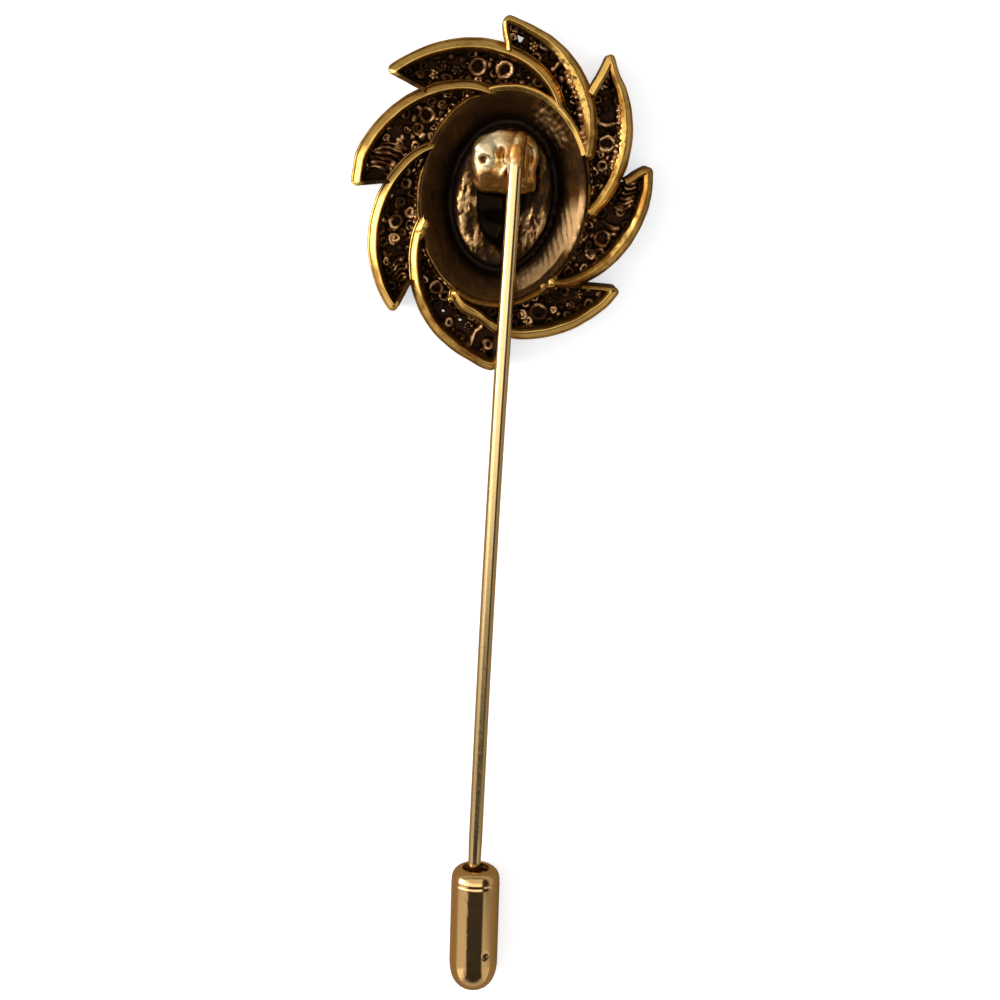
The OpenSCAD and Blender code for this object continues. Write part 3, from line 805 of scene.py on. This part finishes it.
def make_filigree():
    shape = Shape()
    dice = random.Random(7)
    for name, rows in FILIGREE.items():
        for kind, s, w, size in rows:
            c = off_edge(name, place(name, s, w), size)[0]
            ahead = place(name, s + 0.02, w) - place(name, s, w)
            turn = math.atan2(ahead[1], ahead[0])
            front = np.array([math.cos(turn), math.sin(turn)])
            shade = max(dice.choice(MOTIF_SHADES), BRIGHT_MOTIFS.get((name, s), 0))
            top = WIRE_TOP + dice.uniform(-0.2, 0.15)
            if kind == "granule":
                blob(shape, (*c, top - size * 0.8), size, shade + 0.15, 14)
                blob(shape, (*c, FLOOR), (size * 0.7, size * 0.7, 1.2), 0.0, 8)
            elif kind == "rosette":
                blob(shape, (*c, top - 0.1), size * 0.42, shade)
                for k in range(6):
                    a = turn + k * math.pi / 3 + dice.uniform(-0.3, 0.3)
                    p = c + np.array([math.cos(a), math.sin(a)]) * size * 0.78
                    r = size * dice.uniform(0.36, 0.5)
                    blob(shape, (*p, top - 0.2 + dice.uniform(-0.15, 0.08)), r, shade, 10)
                blob(shape, (*c, FLOOR + 0.2), (size, size, 1.0), 0.1, 10)
            elif kind == "ring":
                line = c + heading(turns(40)) * size
                wall_wire(shape, line, WIRE * 1.05, top, closed=True, wear=shade)
            elif kind == "scroll":
                a = np.linspace(0, 3.0 * np.pi, 50)
                grow = size * (0.22 + 0.78 * (a / a[-1]) ** 1.1)
                line = c + heading(a + turn + dice.uniform(0, 3)) * grow[:, None]
                wall_wire(shape, line, WIRE * 0.9, top - 0.08, wear=shade)
            elif kind == "ribbon":
                across = np.linspace(-1, 1, 14) * size
                bow = 0.25 * size * (1 - (across / size) ** 2)
                line = c - across[:, None] * right_of(front) + bow[:, None] * front
                wall_wire(shape, line, WIRE * 1.1, top, wear=shade)
            elif kind == "ribs":
                flat = np.array([-math.sin(turn + 0.45), math.cos(turn + 0.45)])
                for k in range(6):
                    across = np.linspace(-1, 1, 16) * size * (0.75 + 0.07 * k)
                    bow = 0.22 * (1 - (across / size) ** 2)
                    line = c + front * (k - 2.5) * 0.42 + across[:, None] * flat + bow[:, None] * front
                    wall_wire(shape, line, RIB_WIRE, top - 0.1, wear=0.5)
        fill_between(shape, name, rows, dice)
    for name, start, end, w, width, top, wear in ROPES:
        s = np.linspace(start, end, int(260 * (end - start)) + 20)
        line = place(name, s, np.full(len(s), w))
        wall_wire(shape, line, width, top, beads=BEAD, wear=wear)
    for k, (p, wear) in enumerate(zip(shape.points, shape.wear)):
        shape.wear[k] = wear * np.clip(0.80 + 1.6 * noise_at(p, 1.5), 0.25, 1.6)
        shape.points[k] = roughen(roughen(p, *WIRE_SKIN), *WIRE_GRAIN)
    return shape


def make_floors():
    """Pierced plates under the filigree, cut as flat outlines with their holes."""
    shape = Shape()
    for name, leaf in LEAVES.items():
        outer = leaf_path(name, PLATE_INSET)[:-INNER_STEPS]
        back = (end_share(name, PLATE_INSET) - 0.02) * leaf[SWEEP]
        phi = leaf[TIP] + np.linspace(back, TIPS[name][FOOT_AT] + 3, 60)
        inner = beyond(phi, np.maximum(before_at(name, phi) - 0.5, -0.05))
        loops = [np.vstack([outer, inner])] + openings_of(name)
        curve = bpy.data.curves.new("plate", "CURVE")
        curve.dimensions, curve.fill_mode = "2D", "BOTH"
        curve.extrude, curve.bevel_depth, curve.bevel_resolution = PLATE_HALF, PLATE_ROUND, 1
        for loop in loops:
            spline = curve.splines.new("POLY")
            spline.points.add(len(loop) - 1)
            for point, (x, y) in zip(spline.points, loop):
                point.co = (x, y, 0, 1)
            spline.use_cyclic_u = True
        points, _, faces = meshed(add_object("plate", curve))
        shape.mesh(points + np.array([0, 0, FLOOR - PLATE_HALF - PLATE_ROUND]), faces, 0.05)
    return shape


def between(angle, start, end, soft):
    """1 from the first bearing to the second, going clockwise, and 0 elsewhere, with soft ends."""
    middle, half = (start + end) / 2, (end - start) / 2
    off = np.abs(np.mod(angle - middle + 180, 360) - 180)
    return ease((half + soft / 2 - off) / soft)


def make_dish():
    shape = Shape()
    a = turns(360)
    bearing = np.degrees(a)
    rows, wear, zones = [], [], []
    for k, row in enumerate(DISH):
        after = DISH[(k + 1) % len(DISH)]
        zone = next(name for name, past in ZONES if k < past)
        # The arcs of the zone's table paint light on the faces that the lamp on the left lights
        patina_and_light = PATINA_AND_PAINTED_LIGHT[zone][0] + sum(gain * between(bearing, *arc) for gain, *arc in PATINA_AND_PAINTED_LIGHT[zone][1:])
        long_way = math.hypot(after[0] - row[0], after[3] - row[3])
        parts = max(1, int(long_way / 0.10)) if zone != "front" else 1
        for j in range(parts):
            f = j / parts
            z, x0, y0, rx, ry, worn_and_lit = (p + (q - p) * f for p, q in zip(row, after))
            rows.append(oval(a, rx, ry, z, x0, y0))
            wear.append(np.full(len(a), worn_and_lit * patina_and_light))
            zones.append(zone)
    shape.grid(rows, np.array(wear), closed_rows=True, closed_across=True)
    points, worn_and_lit = shape.points[0], shape.wear[0]
    x, y = points[:, 0], points[:, 1]
    bark = noise_at(points, BARK_COARSE) + 0.7 * noise_at(points, BARK_FINE)
    speck = noise_at(points, SPECKLE)
    collar = np.repeat(np.isin(zones, ("collar", "hole")), len(a)) * 1.0
    worn_and_lit = worn_and_lit * (1 + collar * (-0.25 + 1.8 * bark))
    # Painted highlights where the collar catches the light
    for at_x, at_y, wide, long_, gain in COLLAR_PAINTED_HIGHLIGHTS:
        near = spread(x - at_x, wide) * spread(y - at_y, long_)
        worn_and_lit += gain * near * collar * (1.0 + 0.8 * bark)
    shape.wear[0] = np.clip(worn_and_lit, 0, 1)
    hollow = np.repeat(np.isin(zones, ("edge", "dish")), len(a)) * 1.0
    hatched = hollow * np.tile(between(bearing, *HATCHED), len(zones))
    speckled = hollow * np.tile(between(bearing, *SPECKLED), len(zones))
    hatch = np.sin(2 * np.pi * (HATCH_WAY[0] * x + HATCH_WAY[1] * y) / HATCH_PITCH)
    lifted = BARK_DEPTH * bark * collar + HATCH_DEPTH * hatch * hatched
    points[:, 2] += lifted + SPECK_DEPTH * speck * speckled
    skin = roughen(points, *DISH_SKIN)
    wide, high = ROUGH_OVAL
    near = np.exp(-(((skin[:, 0] / wide) ** 2 + (skin[:, 1] / high) ** 2 - 1) ** 2) * 8)
    finer_skin = roughen(skin, *DISH_GRAIN)
    shape.points[0] = skin + (finer_skin - skin) * (0.3 + 0.9 * near)[:, None]
    return shape


def make_solder():
    """The pad: lumps joined, skinned over as one and pitted."""
    drops = Shape()
    for x, y, z, rx, ry, rz in SOLDER:
        blob(drops, (x, y, z), (rx, ry, rz), 1.0, 40)
    for radius, points in SOLDER_RUNS:
        for a, b in zip(points, points[1:]):
            a, b = np.array(a), np.array(b)
            parts = int(np.linalg.norm(b - a) / (radius * 0.4)) + 1
            for k in range(parts + 1):
                blob(drops, a + (b - a) * k / parts, radius, 1.0, 20)
    mesh = bpy.data.meshes.new("drops")
    mesh.from_pydata(np.concatenate(drops.points).tolist(), [], drops.faces)
    maker = add_object("drops", mesh)
    skin = maker.modifiers.new("skin", "REMESH")
    skin.mode, skin.voxel_size = "VOXEL", SOLDER_VOXEL
    settle = maker.modifiers.new("settle", "SMOOTH")
    settle.factor, settle.iterations = SOLDER_SETTLES
    points, normals, faces = meshed(maker)
    wear = np.full(len(points), SOLDER_WEAR)

    def away(x, y, reach):
        """How far each point is from this place, squared, against the reach."""
        return ((points[:, 0] - x) ** 2 + (points[:, 1] - y) ** 2) / reach**2

    # Painted highlights on the dome and its right ridge, and painted shade under the dome
    for x, y, reach, gain in SOLDER_PAINTED_LIGHT:
        wear += gain * np.exp(-away(x, y, reach))
    for x, y, reach, depth, darker in PITS:
        dip = np.exp(-(away(x, y, reach) ** 1.5)) * (normals[:, 2] > 0.1)
        points -= normals * (dip * depth)[:, None]
        wear -= dip * darker
    shape = Shape()
    points = roughen(roughen(points, *SOLDER_SKIN), *SOLDER_GRAIN)
    shape.mesh(points + np.array([*(HEAD_AT + SOLDER_SHIFT), 0]), faces, np.clip(wear, 0, 1))
    return shape


def lathe(shape, section, sides, wear=1.0, closed=False):
    a = turns(sides)
    rows = [np.stack([r * np.cos(a), r * np.sin(a), np.full(sides, z)], -1) for z, r in section]
    shape.grid(rows, wear, closed_rows=closed, closed_across=True, caps=not closed)


def finer(section, most):
    """The section with long steps split."""
    out = []
    for (z0, r0), (z1, r1) in zip(section, section[1:]):
        parts = max(1, int(math.hypot(z1 - z0, r1 - r0) / most))
        out += [(z0 + (z1 - z0) * k / parts, r0 + (r1 - r0) * k / parts) for k in range(parts)]
    return out + [section[-1]]


def make_stem():
    """A drawn wire that is bent very little to one side."""
    shape = Shape()
    lathe(shape, finer(STEM, 0.8), 40)
    wire = shape.points[0]
    wire[:, 0] -= STEM_BOW * np.sin(np.pi * np.clip(wire[:, 2] / CLUTCH_OUT, 0, 1))
    return shape


def make_clutch():
    """A smooth shell with a nick and a line of scratches, which wear has left on its back."""
    shape = Shape()
    lathe(shape, finer(CLUTCH, 0.12), 180, closed=True)
    shell = shape.points[0]
    bearing = np.degrees(np.arctan2(shell[:, 0], shell[:, 1]))
    outside = np.hypot(shell[:, 0], shell[:, 1]) > CLUTCH_INSIDE
    at, turn, size = NICK
    off = np.hypot(shell[:, 2] - at, np.radians(bearing - turn) * CLUTCH_RADIUS) / size
    nick = np.exp(-(off**4)) * outside
    middle, wide, start, end = SCRATCHED
    band = spread(bearing - middle, wide) * outside * (shell[:, 2] > start) * (shell[:, 2] < end)
    rub = noise_at(shell, (7, 7, 8))
    keep = 1 - NICK_DEPTH * nick - SCRATCH_DEPTH * band * rub
    shell[:, :2] *= keep[:, None]
    shape.wear[0] = shape.wear[0] * (1 - nick)
    return shape


def make_stone():
    """An oval cabochon whose back is ground a little uneven."""
    shape = Shape()
    a = turns(120)
    section = [(STONE_BACK, k) for k in (*STONE_GROUND, 0.90)]
    section += [(1.86, 0.95), (1.78, 0.985), (1.6, 1.0), (STONE_GIRDLE, 1.0)]
    section += [
        (STONE_GIRDLE - DOME * math.sin(t), math.cos(t) ** 0.8) for t in np.linspace(0.1, 1.56, 22)
    ]
    rows = [oval(a, STONE_RX * k, STONE_RY * k, z) for z, k in section]
    for row in rows[: len(STONE_GROUND)]:
        row[:, 2] -= 0.16 * (1 - np.cos(row[:, 1] * 1.5 + 0.8)) * spread(row[:, 0], 2.2)
        row[:, 2] -= 0.05 * (row[:, 0] + 0.4) ** 2 * spread(row[:, 0], 1.8)
    shape.grid(rows, 1.0, closed_across=True, caps=True)
    return shape


# ---------------------------------------------------------------- finishes
def new_group(name, inputs, outputs):
    """A shader node group with named sockets. Each is (kind, name, default)."""
    group = bpy.data.node_groups.new(name, "ShaderNodeTree")
    kinds = {"value": "NodeSocketFloat", "colour": "NodeSocketColor", "vector": "NodeSocketVector"}
    for kind, label, default in inputs:
        socket = group.interface.new_socket(label, in_out="INPUT", socket_type=kinds[kind])
        socket.default_value = default
    for kind, label in outputs:
        group.interface.new_socket(label, in_out="OUTPUT", socket_type=kinds[kind])
    given = group.nodes.new("NodeGroupInput")
    result = group.nodes.new("NodeGroupOutput")
    return group, given.outputs, result.inputs


class Net:
    """Adds nodes to a tree and links them in one call each."""

    def __init__(self, tree):
        self.tree = tree

    def add(self, kind, settings=None, **inputs):
        node = self.tree.nodes.new("ShaderNode" + kind)
        for key, value in (settings or {}).items():
            setattr(node, key, value)
        for key, value in inputs.items():
            at = node.inputs[int(key[1:]) if key[1:].isdigit() else key]
            if isinstance(value, bpy.types.NodeSocket):
                self.tree.links.new(value, at)
            else:
                at.default_value = value
        return node

    def group(self, tree, **inputs):
        """A node that stands for a group, with its inputs set or linked."""
        return self.add("Group", {"node_tree": tree}, **inputs).outputs

    def math(self, how, a, b=0.0, clamp=False):
        return self.add("Math", {"operation": how, "use_clamp": clamp}, i0=a, i1=b).outputs[0]

    def product(self, *parts):
        out = parts[0]
        for part in parts[1:]:
            out = self.math("MULTIPLY", out, part)
        return out

    def scaled(self, vector, by):
        return self.add("VectorMath", {"operation": "SCALE"}, i0=vector, Scale=by).outputs[0]

    def spot(self):
        """The place on the piece, in millimetres."""
        return self.scaled(self.add("TexCoord").outputs["Object"], 1 / MM)

    def noise(self, vector, scale, detail=4.0, roughness=0.55):
        node = self.add("TexNoise", Vector=vector, Scale=scale, Detail=detail, Roughness=roughness)
        return node.outputs["Fac"]

    def mix(self, share, a, b):
        node = self.add("Mix", {"data_type": "RGBA"}, i0=share, i6=a, i7=b)
        return node.outputs[2]

    def rise(self, value, start, end):
        """From 0 at the start to 1 at the end, softly. The end may be the lower one."""
        soft = {"interpolation_type": "SMOOTHSTEP"}
        return self.add("MapRange", soft, Value=value, i1=start, i2=end).outputs[0]

    def between(self, value, start, end, low, high):
        """From low at the start to high at the end, evenly."""
        return self.add("MapRange", Value=value, i1=start, i2=end, i3=low, i4=high).outputs[0]

    def link(self, a, b):
        self.tree.links.new(a, b)


# Over which stretches of wear the brown comes through the black, and then the gold
OXIDE_TO_TARNISH, TARNISH_TO_GOLD = (0.0, 0.45), (0.35, 0.85)
GRAIN_ROUGHNESS = 0.18


def antique_group():
    """Gold on the worn crests, brown oxide in the hollows, with patches and fine grain. Where a piece paints
    light and shade into its wear, this turns that into colour too.
    """
    group, given, result = new_group(
        "antique_finish",
        [("value", "Wear", 0.5), ("colour", "Gold", (0.8, 0.55, 0.2, 1)),
         ("colour", "Tarnish", (0.2, 0.1, 0.03, 1)), ("colour", "Oxide", (0.02, 0.01, 0.005, 1)),
         ("value", "Patch Size", 1.0), ("value", "Patches", 0.5), ("value", "Grain Size", 0.1),
         ("value", "Polish", 0.2), ("value", "Matt", 0.6)],
        [("colour", "Color"), ("value", "Roughness"), ("value", "Metallic"), ("value", "Height")],
    )
    net = Net(group)
    spot = net.spot()
    patch = net.noise(spot, net.math("DIVIDE", 1.0, given["Patch Size"]), 3.0)
    grain = net.noise(spot, net.math("DIVIDE", 1.0, given["Grain Size"]), 5.0, 0.65)
    either_way = net.math("SUBTRACT", grain, 0.5)
    patch = net.product(net.math("SUBTRACT", patch, 0.5), given["Patches"])
    fine = net.product(either_way, net.product(given["Patches"], 0.5))
    wear = net.math("ADD", given["Wear"], net.math("ADD", patch, fine), clamp=True)
    colour = net.mix(net.rise(wear, *OXIDE_TO_TARNISH), given["Oxide"], given["Tarnish"])
    colour = net.mix(net.rise(wear, *TARNISH_TO_GOLD), colour, given["Gold"])
    rough = net.between(wear, 0.0, 0.8, given["Matt"], given["Polish"])
    rough = net.math("ADD", rough, net.product(either_way, GRAIN_ROUGHNESS), clamp=True)
    metal = net.between(wear, 0.0, 0.3, 0.75, 1.0)
    for label, value in (("Color", colour), ("Roughness", rough), ("Metallic", metal), ("Height", grain)):
        net.link(value, result[label])
    return group


def drawn_lines_group():
    """Fine lines along one direction, as drawing, brushing or filing leaves them."""
    group, given, result = new_group(
        "drawn_lines",
        [("vector", "Across", (1.0, 0.0, 0.0)), ("value", "Spacing", 0.1), ("value", "Length", 2.0)],
        [("value", "Lines")],
    )
    net = Net(group)
    spot = net.spot()
    step = net.add("VectorMath", {"operation": "DOT_PRODUCT"}, i0=spot, i1=given["Across"]).outputs["Value"]
    fine = net.scaled(given["Across"], net.math("DIVIDE", step, given["Spacing"]))
    along = net.scaled(spot, net.math("DIVIDE", 1.0, given["Length"]))
    at = net.add("VectorMath", {"operation": "ADD"}, i0=fine, i1=along).outputs[0]
    net.link(net.noise(at, 1.0, 3.0, 0.6), result["Lines"])
    return group


ANTIQUE = antique_group()
LINES = drawn_lines_group()


def new_material(name):
    material = bpy.data.materials.new(name)
    material.use_nodes = True
    return material, Net(material.node_tree), material.node_tree.nodes["Principled BSDF"]


def metal(name, gold, tarnish, oxide, patch=(1.0, 0.5), grain=0.1, polish=0.2, matt=0.6, depth=0.02,
          wear=None, lines=None, line_depth=0.0):
    """A gilt finish. The sizes of its patches and grain and both depths are in millimetres."""
    material, net, shader = new_material(name)
    if wear is None:
        wear = net.add("Attribute", {"attribute_name": "wear"}).outputs["Fac"]
    finish = net.group(ANTIQUE, **{
        "Wear": wear, "Gold": (*gold, 1), "Tarnish": (*tarnish, 1), "Oxide": (*oxide, 1),
        "Patch Size": patch[0], "Patches": patch[1], "Grain Size": grain, "Polish": polish, "Matt": matt,
    })
    for label, at in (("Color", "Base Color"), ("Roughness", "Roughness"), ("Metallic", "Metallic")):
        net.link(finish[label], shader.inputs[at])
    height = net.product(finish["Height"], depth)
    if lines:
        across, spacing, length = lines
        drawn = net.group(LINES, Across=across, Spacing=spacing, Length=length)
        height = net.math("ADD", height, net.product(drawn["Lines"], line_depth))
    bump = net.add("Bump", Height=height, Strength=1.0, Distance=MM)
    net.link(bump.outputs["Normal"], shader.inputs["Normal"])
    return material


RIM_GOLD = metal("rim_gold", (0.71, 0.44, 0.12), (0.27, 0.12, 0.020), (0.03, 0.013, 0.005),
                 patch=(1.6, 0.85), grain=0.40, polish=0.24, matt=0.5, depth=0.006)
FILIGREE_GOLD = metal("filigree_gold", (0.74, 0.46, 0.23), (0.14, 0.060, 0.019), (0.03, 0.013, 0.005),
                      patch=(0.5, 0.6), grain=0.14, polish=0.34, matt=0.6, depth=0.03)
FLOOR_OXIDE = metal("floor_oxide", (0.4, 0.24, 0.10), (0.14, 0.062, 0.024), (0.07, 0.030, 0.012),
                    patch=(0.5, 0.8), grain=0.12, polish=0.4, matt=0.7, depth=0.04)
DISH_BRONZE = metal("dish_bronze", (0.58, 0.36, 0.17), (0.10, 0.045, 0.012), (0.018, 0.008, 0.003),
                    patch=(1.2, 0.60), grain=0.16, polish=0.38, matt=0.55, depth=0.03,
                    lines=((*HATCH_WAY, 0.0), HATCH_PITCH, 2.0), line_depth=0.07)
SOLDER_GOLD = metal("solder_gold", (0.94, 0.78, 0.47), (0.40, 0.18, 0.04), (0.07, 0.025, 0.006),
                    patch=(0.9, 0.55), grain=0.25, polish=0.32, matt=0.46, depth=0.012)
STEM_GOLD = metal("stem_gold", (0.87, 0.62, 0.30), (0.4, 0.24, 0.07), (0.1, 0.05, 0.02), wear=1.0,
                  patch=(3.0, 0.3), grain=0.3, polish=0.15, matt=0.4, depth=0.002,
                  lines=((1.0, 0.0, 0.3), 0.08, 6.0), line_depth=0.002)
CLUTCH_GOLD = metal("clutch_gold", (0.80, 0.51, 0.22), (0.40, 0.22, 0.08), (0.03, 0.015, 0.008),
                    patch=(2.0, 0.1), grain=0.4, polish=0.12, matt=0.35, depth=0.001,
                    lines=((1.0, 0.1, 0.2), 0.12, 2.5), line_depth=0.001)
GRIP_STEEL = metal("grip_steel", (0.20, 0.15, 0.11), (0.1, 0.07, 0.05), (0.02, 0.015, 0.01), wear=0.6,
                   patch=(0.6, 0.5), grain=0.08, polish=0.3, matt=0.55, depth=0.01)


def dark_stone():
    """A near black stone whose mirror is kept low and tinted warm, a painted shade, so that it stays a dark
    hollow in the hole.
    """
    material, net, shader = new_material("dark_stone")
    spot = net.spot()
    colour = net.mix(net.noise(spot, 0.7, 4.0, 0.6), (0.002, 0.0015, 0.001, 1), (0.010, 0.008, 0.004, 1))
    net.link(colour, shader.inputs["Base Color"])
    net.link(net.between(net.noise(spot, 5.0, 3.0), 0.3, 0.8, 0.05, 0.16), shader.inputs["Roughness"])
    shader.inputs["IOR"].default_value = 1.55
    shader.inputs["Specular IOR Level"].default_value = 0.05
    shader.inputs["Specular Tint"].default_value = (1.0, 0.66, 0.36, 1)
    return material


def finish_with(piece, material):
    piece.data.materials.clear()
    piece.data.materials.append(material)


HEAD = ("pin", "antique_gold", "pin")
finish_with(make_rims().build("leaf_rims", *HEAD, move=on_head), RIM_GOLD)
finish_with(make_filigree().build("leaf_filigree", *HEAD, move=on_head, soft_edge=60), FILIGREE_GOLD)
finish_with(make_floors().build("leaf_floors", *HEAD, move=on_head, soft_edge=30), FLOOR_OXIDE)
finish_with(make_dish().build("dish_and_collar", *HEAD, move=on_head), DISH_BRONZE)
finish_with(make_solder().build("solder_pad", *HEAD, soft_edge=180), SOLDER_GOLD)
finish_with(make_stem().build("wire_stem", *HEAD, move=on_stem), STEM_GOLD)
stone = make_stone().build("oval_stone", "pin", "dark_stone", "stone", move=on_head, soft_edge=40)
finish_with(stone, dark_stone())
clutch = make_clutch().build("clutch_shell", "clutch", "clutch_gold", "clutch", move=on_point, soft_edge=35)
finish_with(clutch, CLUTCH_GOLD)
finish_with(frame["nodes"]["clutch_grip"], GRIP_STEEL)

# ---------------------------------------------------------------- floor, lights and camera
TABLE_HALF, TABLE_GLOW = 4.0, 0.60
# What gold mirrors of the table is a painted reflection, in warm brown
TABLE_PALE, TABLE_MIRRORED = (0.93, 0.955, 0.99, 1), (0.34, 0.26, 0.16, 1)
# Parts of the room by the way one looks, each the product of its rows. Columns: axis, where it starts,
# where it is full
OVERHEAD = (("Z", 0.35, 0.65), ("X", 0.60, 0.42), ("Y", -0.40, -0.24), ("Y", 0.95, 0.70))
WEST = (("X", -0.40, -0.75), ("Y", 0.65, 0.30), ("Y", -0.50, -0.28))
LOW_WEST = (("X", -0.40, -0.70), ("Y", -0.50, -0.56), ("Y", -0.95, -0.75))
NEAR_STRIP = (("Y", -0.15, -0.24), ("Y", -0.52, -0.44), ("X", 0.1, 0.4))
# How strong each of them glows, and the glow that is everywhere
OVERHEAD_GLOW, WEST_GLOW, LOW_WEST_GLOW, ASIDE_GLOW, LEVEL_GLOW, LEAST_GLOW = 1.5, 0.8, 1.2, 0.64, 0.44, 0.038


def make_floor():
    """A pale light table that glows evenly. What gold mirrors of it is a painted reflection, darker and warm
    brown, as a card beside the object would be.
    """
    mesh = bpy.data.meshes.new("floor")
    corners = [(x * TABLE_HALF, y * TABLE_HALF, 0) for x, y in ((-1, -1), (1, -1), (1, 1), (-1, 1))]
    mesh.from_pydata(corners, [], [(0, 1, 2, 3)])
    floor = add_object("floor", mesh)
    material, net, shader = new_material("pale_floor")
    mirrored = net.add("LightPath").outputs["Is Glossy Ray"]
    net.link(net.mix(mirrored, TABLE_PALE, TABLE_MIRRORED), shader.inputs["Base Color"])
    net.link(net.mix(mirrored, (0.93, 0.96, 1.0, 1), (0.0, 0.0, 0.0, 1)), shader.inputs["Emission Color"])
    shader.inputs["Emission Strength"].default_value = TABLE_GLOW
    shader.inputs["Roughness"].default_value = 0.9
    mesh.materials.append(material)


def panel(name, at, facing, size, radiance, colour):
    """A soft panel light, as bright as radiance says however large it is."""
    light = bpy.data.lights.new(name, "AREA")
    light.shape, light.size, light.size_y = "RECTANGLE", size[0], size[1]
    light.energy, light.color = radiance * math.pi * size[0] * size[1], colour
    lamp = add_object(name, light)
    lamp.location = at
    lamp.rotation_mode = "QUATERNION"
    lamp.rotation_quaternion = Vector(facing).to_track_quat("-Z", "Y")


def studio_world():
    """A soft room: bright overhead and to the left, dim low all round, with a dark strip to the near side."""
    world = bpy.data.worlds.new("studio")
    bpy.context.scene.world = world
    world.use_nodes = True
    net = Net(world.node_tree)
    way = net.add("SeparateXYZ", Vector=net.add("TexCoord").outputs["Generated"]).outputs

    def zone(rows):
        return net.product(*(net.rise(way[axis], start, full) for axis, start, full in rows))

    def less(whole, part):
        return net.math("SUBTRACT", whole, part)

    far_side = net.product(net.rise(way["Y"], 0.05, 0.25), 0.5)
    over = net.product(zone(OVERHEAD), less(1.0, far_side), OVERHEAD_GLOW)
    aside = net.rise(net.math("ABSOLUTE", less(way["X"], 0.04)), 0.50, 0.60)
    aside = net.product(aside, net.rise(way["Y"], -0.40, -0.46), ASIDE_GLOW)
    level = net.product(net.rise(way["Z"], 0.52, 0.30), less(LEVEL_GLOW, net.product(zone(NEAR_STRIP), 0.2)))
    glow = net.math("ADD", over, net.product(zone(WEST), WEST_GLOW))
    glow = net.math("ADD", glow, net.product(zone(LOW_WEST), LOW_WEST_GLOW))
    glow = net.math("MAXIMUM", net.math("MAXIMUM", glow, aside), level)
    back = world.node_tree.nodes["Background"]
    net.link(net.math("ADD", glow, LEAST_GLOW), back.inputs["Strength"])
    back.inputs["Color"].default_value = (1.0, 0.95, 0.87, 1)


make_floor()
studio_world()
panel("left", (-1.55, 0.10, 0.62), (1, 0, -0.35), (0.95, 0.80), 5.6, (1.0, 0.95, 0.86))

# The camera's place in millimetres, its angles in degrees, its focal length and the sensor's width
CAMERA_AT = (-2.662, 31.077, 159.4)
CAMERA_TILT, CAMERA_PAN, CAMERA_ROLL = 10.458, 1.4216, 3.3002
CAMERA_LENS, SENSOR = 75.74, 36.0


def make_camera():
    tilt, pan, roll = (math.radians(v) for v in (CAMERA_TILT, CAMERA_PAN, CAMERA_ROLL))
    forward = Vector((math.sin(pan), -math.sin(tilt) * math.cos(pan), -math.cos(tilt) * math.cos(pan)))
    right = forward.cross(Vector((0, 1, 0))).normalized()
    up = right.cross(forward)
    across = right * math.cos(roll) + up * math.sin(roll)
    upward = up * math.cos(roll) - right * math.sin(roll)
    data = bpy.data.cameras.new("camera")
    data.lens, data.sensor_width, data.sensor_fit = CAMERA_LENS, SENSOR, "HORIZONTAL"
    data.clip_start, data.clip_end = 0.01, 20.0
    camera = add_object("camera", data)
    turn = Matrix((across, upward, -forward)).transposed().to_4x4()
    camera.matrix_world = Matrix.Translation(Vector(CAMERA_AT) * MM) @ turn
    bpy.context.scene.camera = camera


make_camera()
bpy.context.scene.view_settings.view_transform = "Standard"
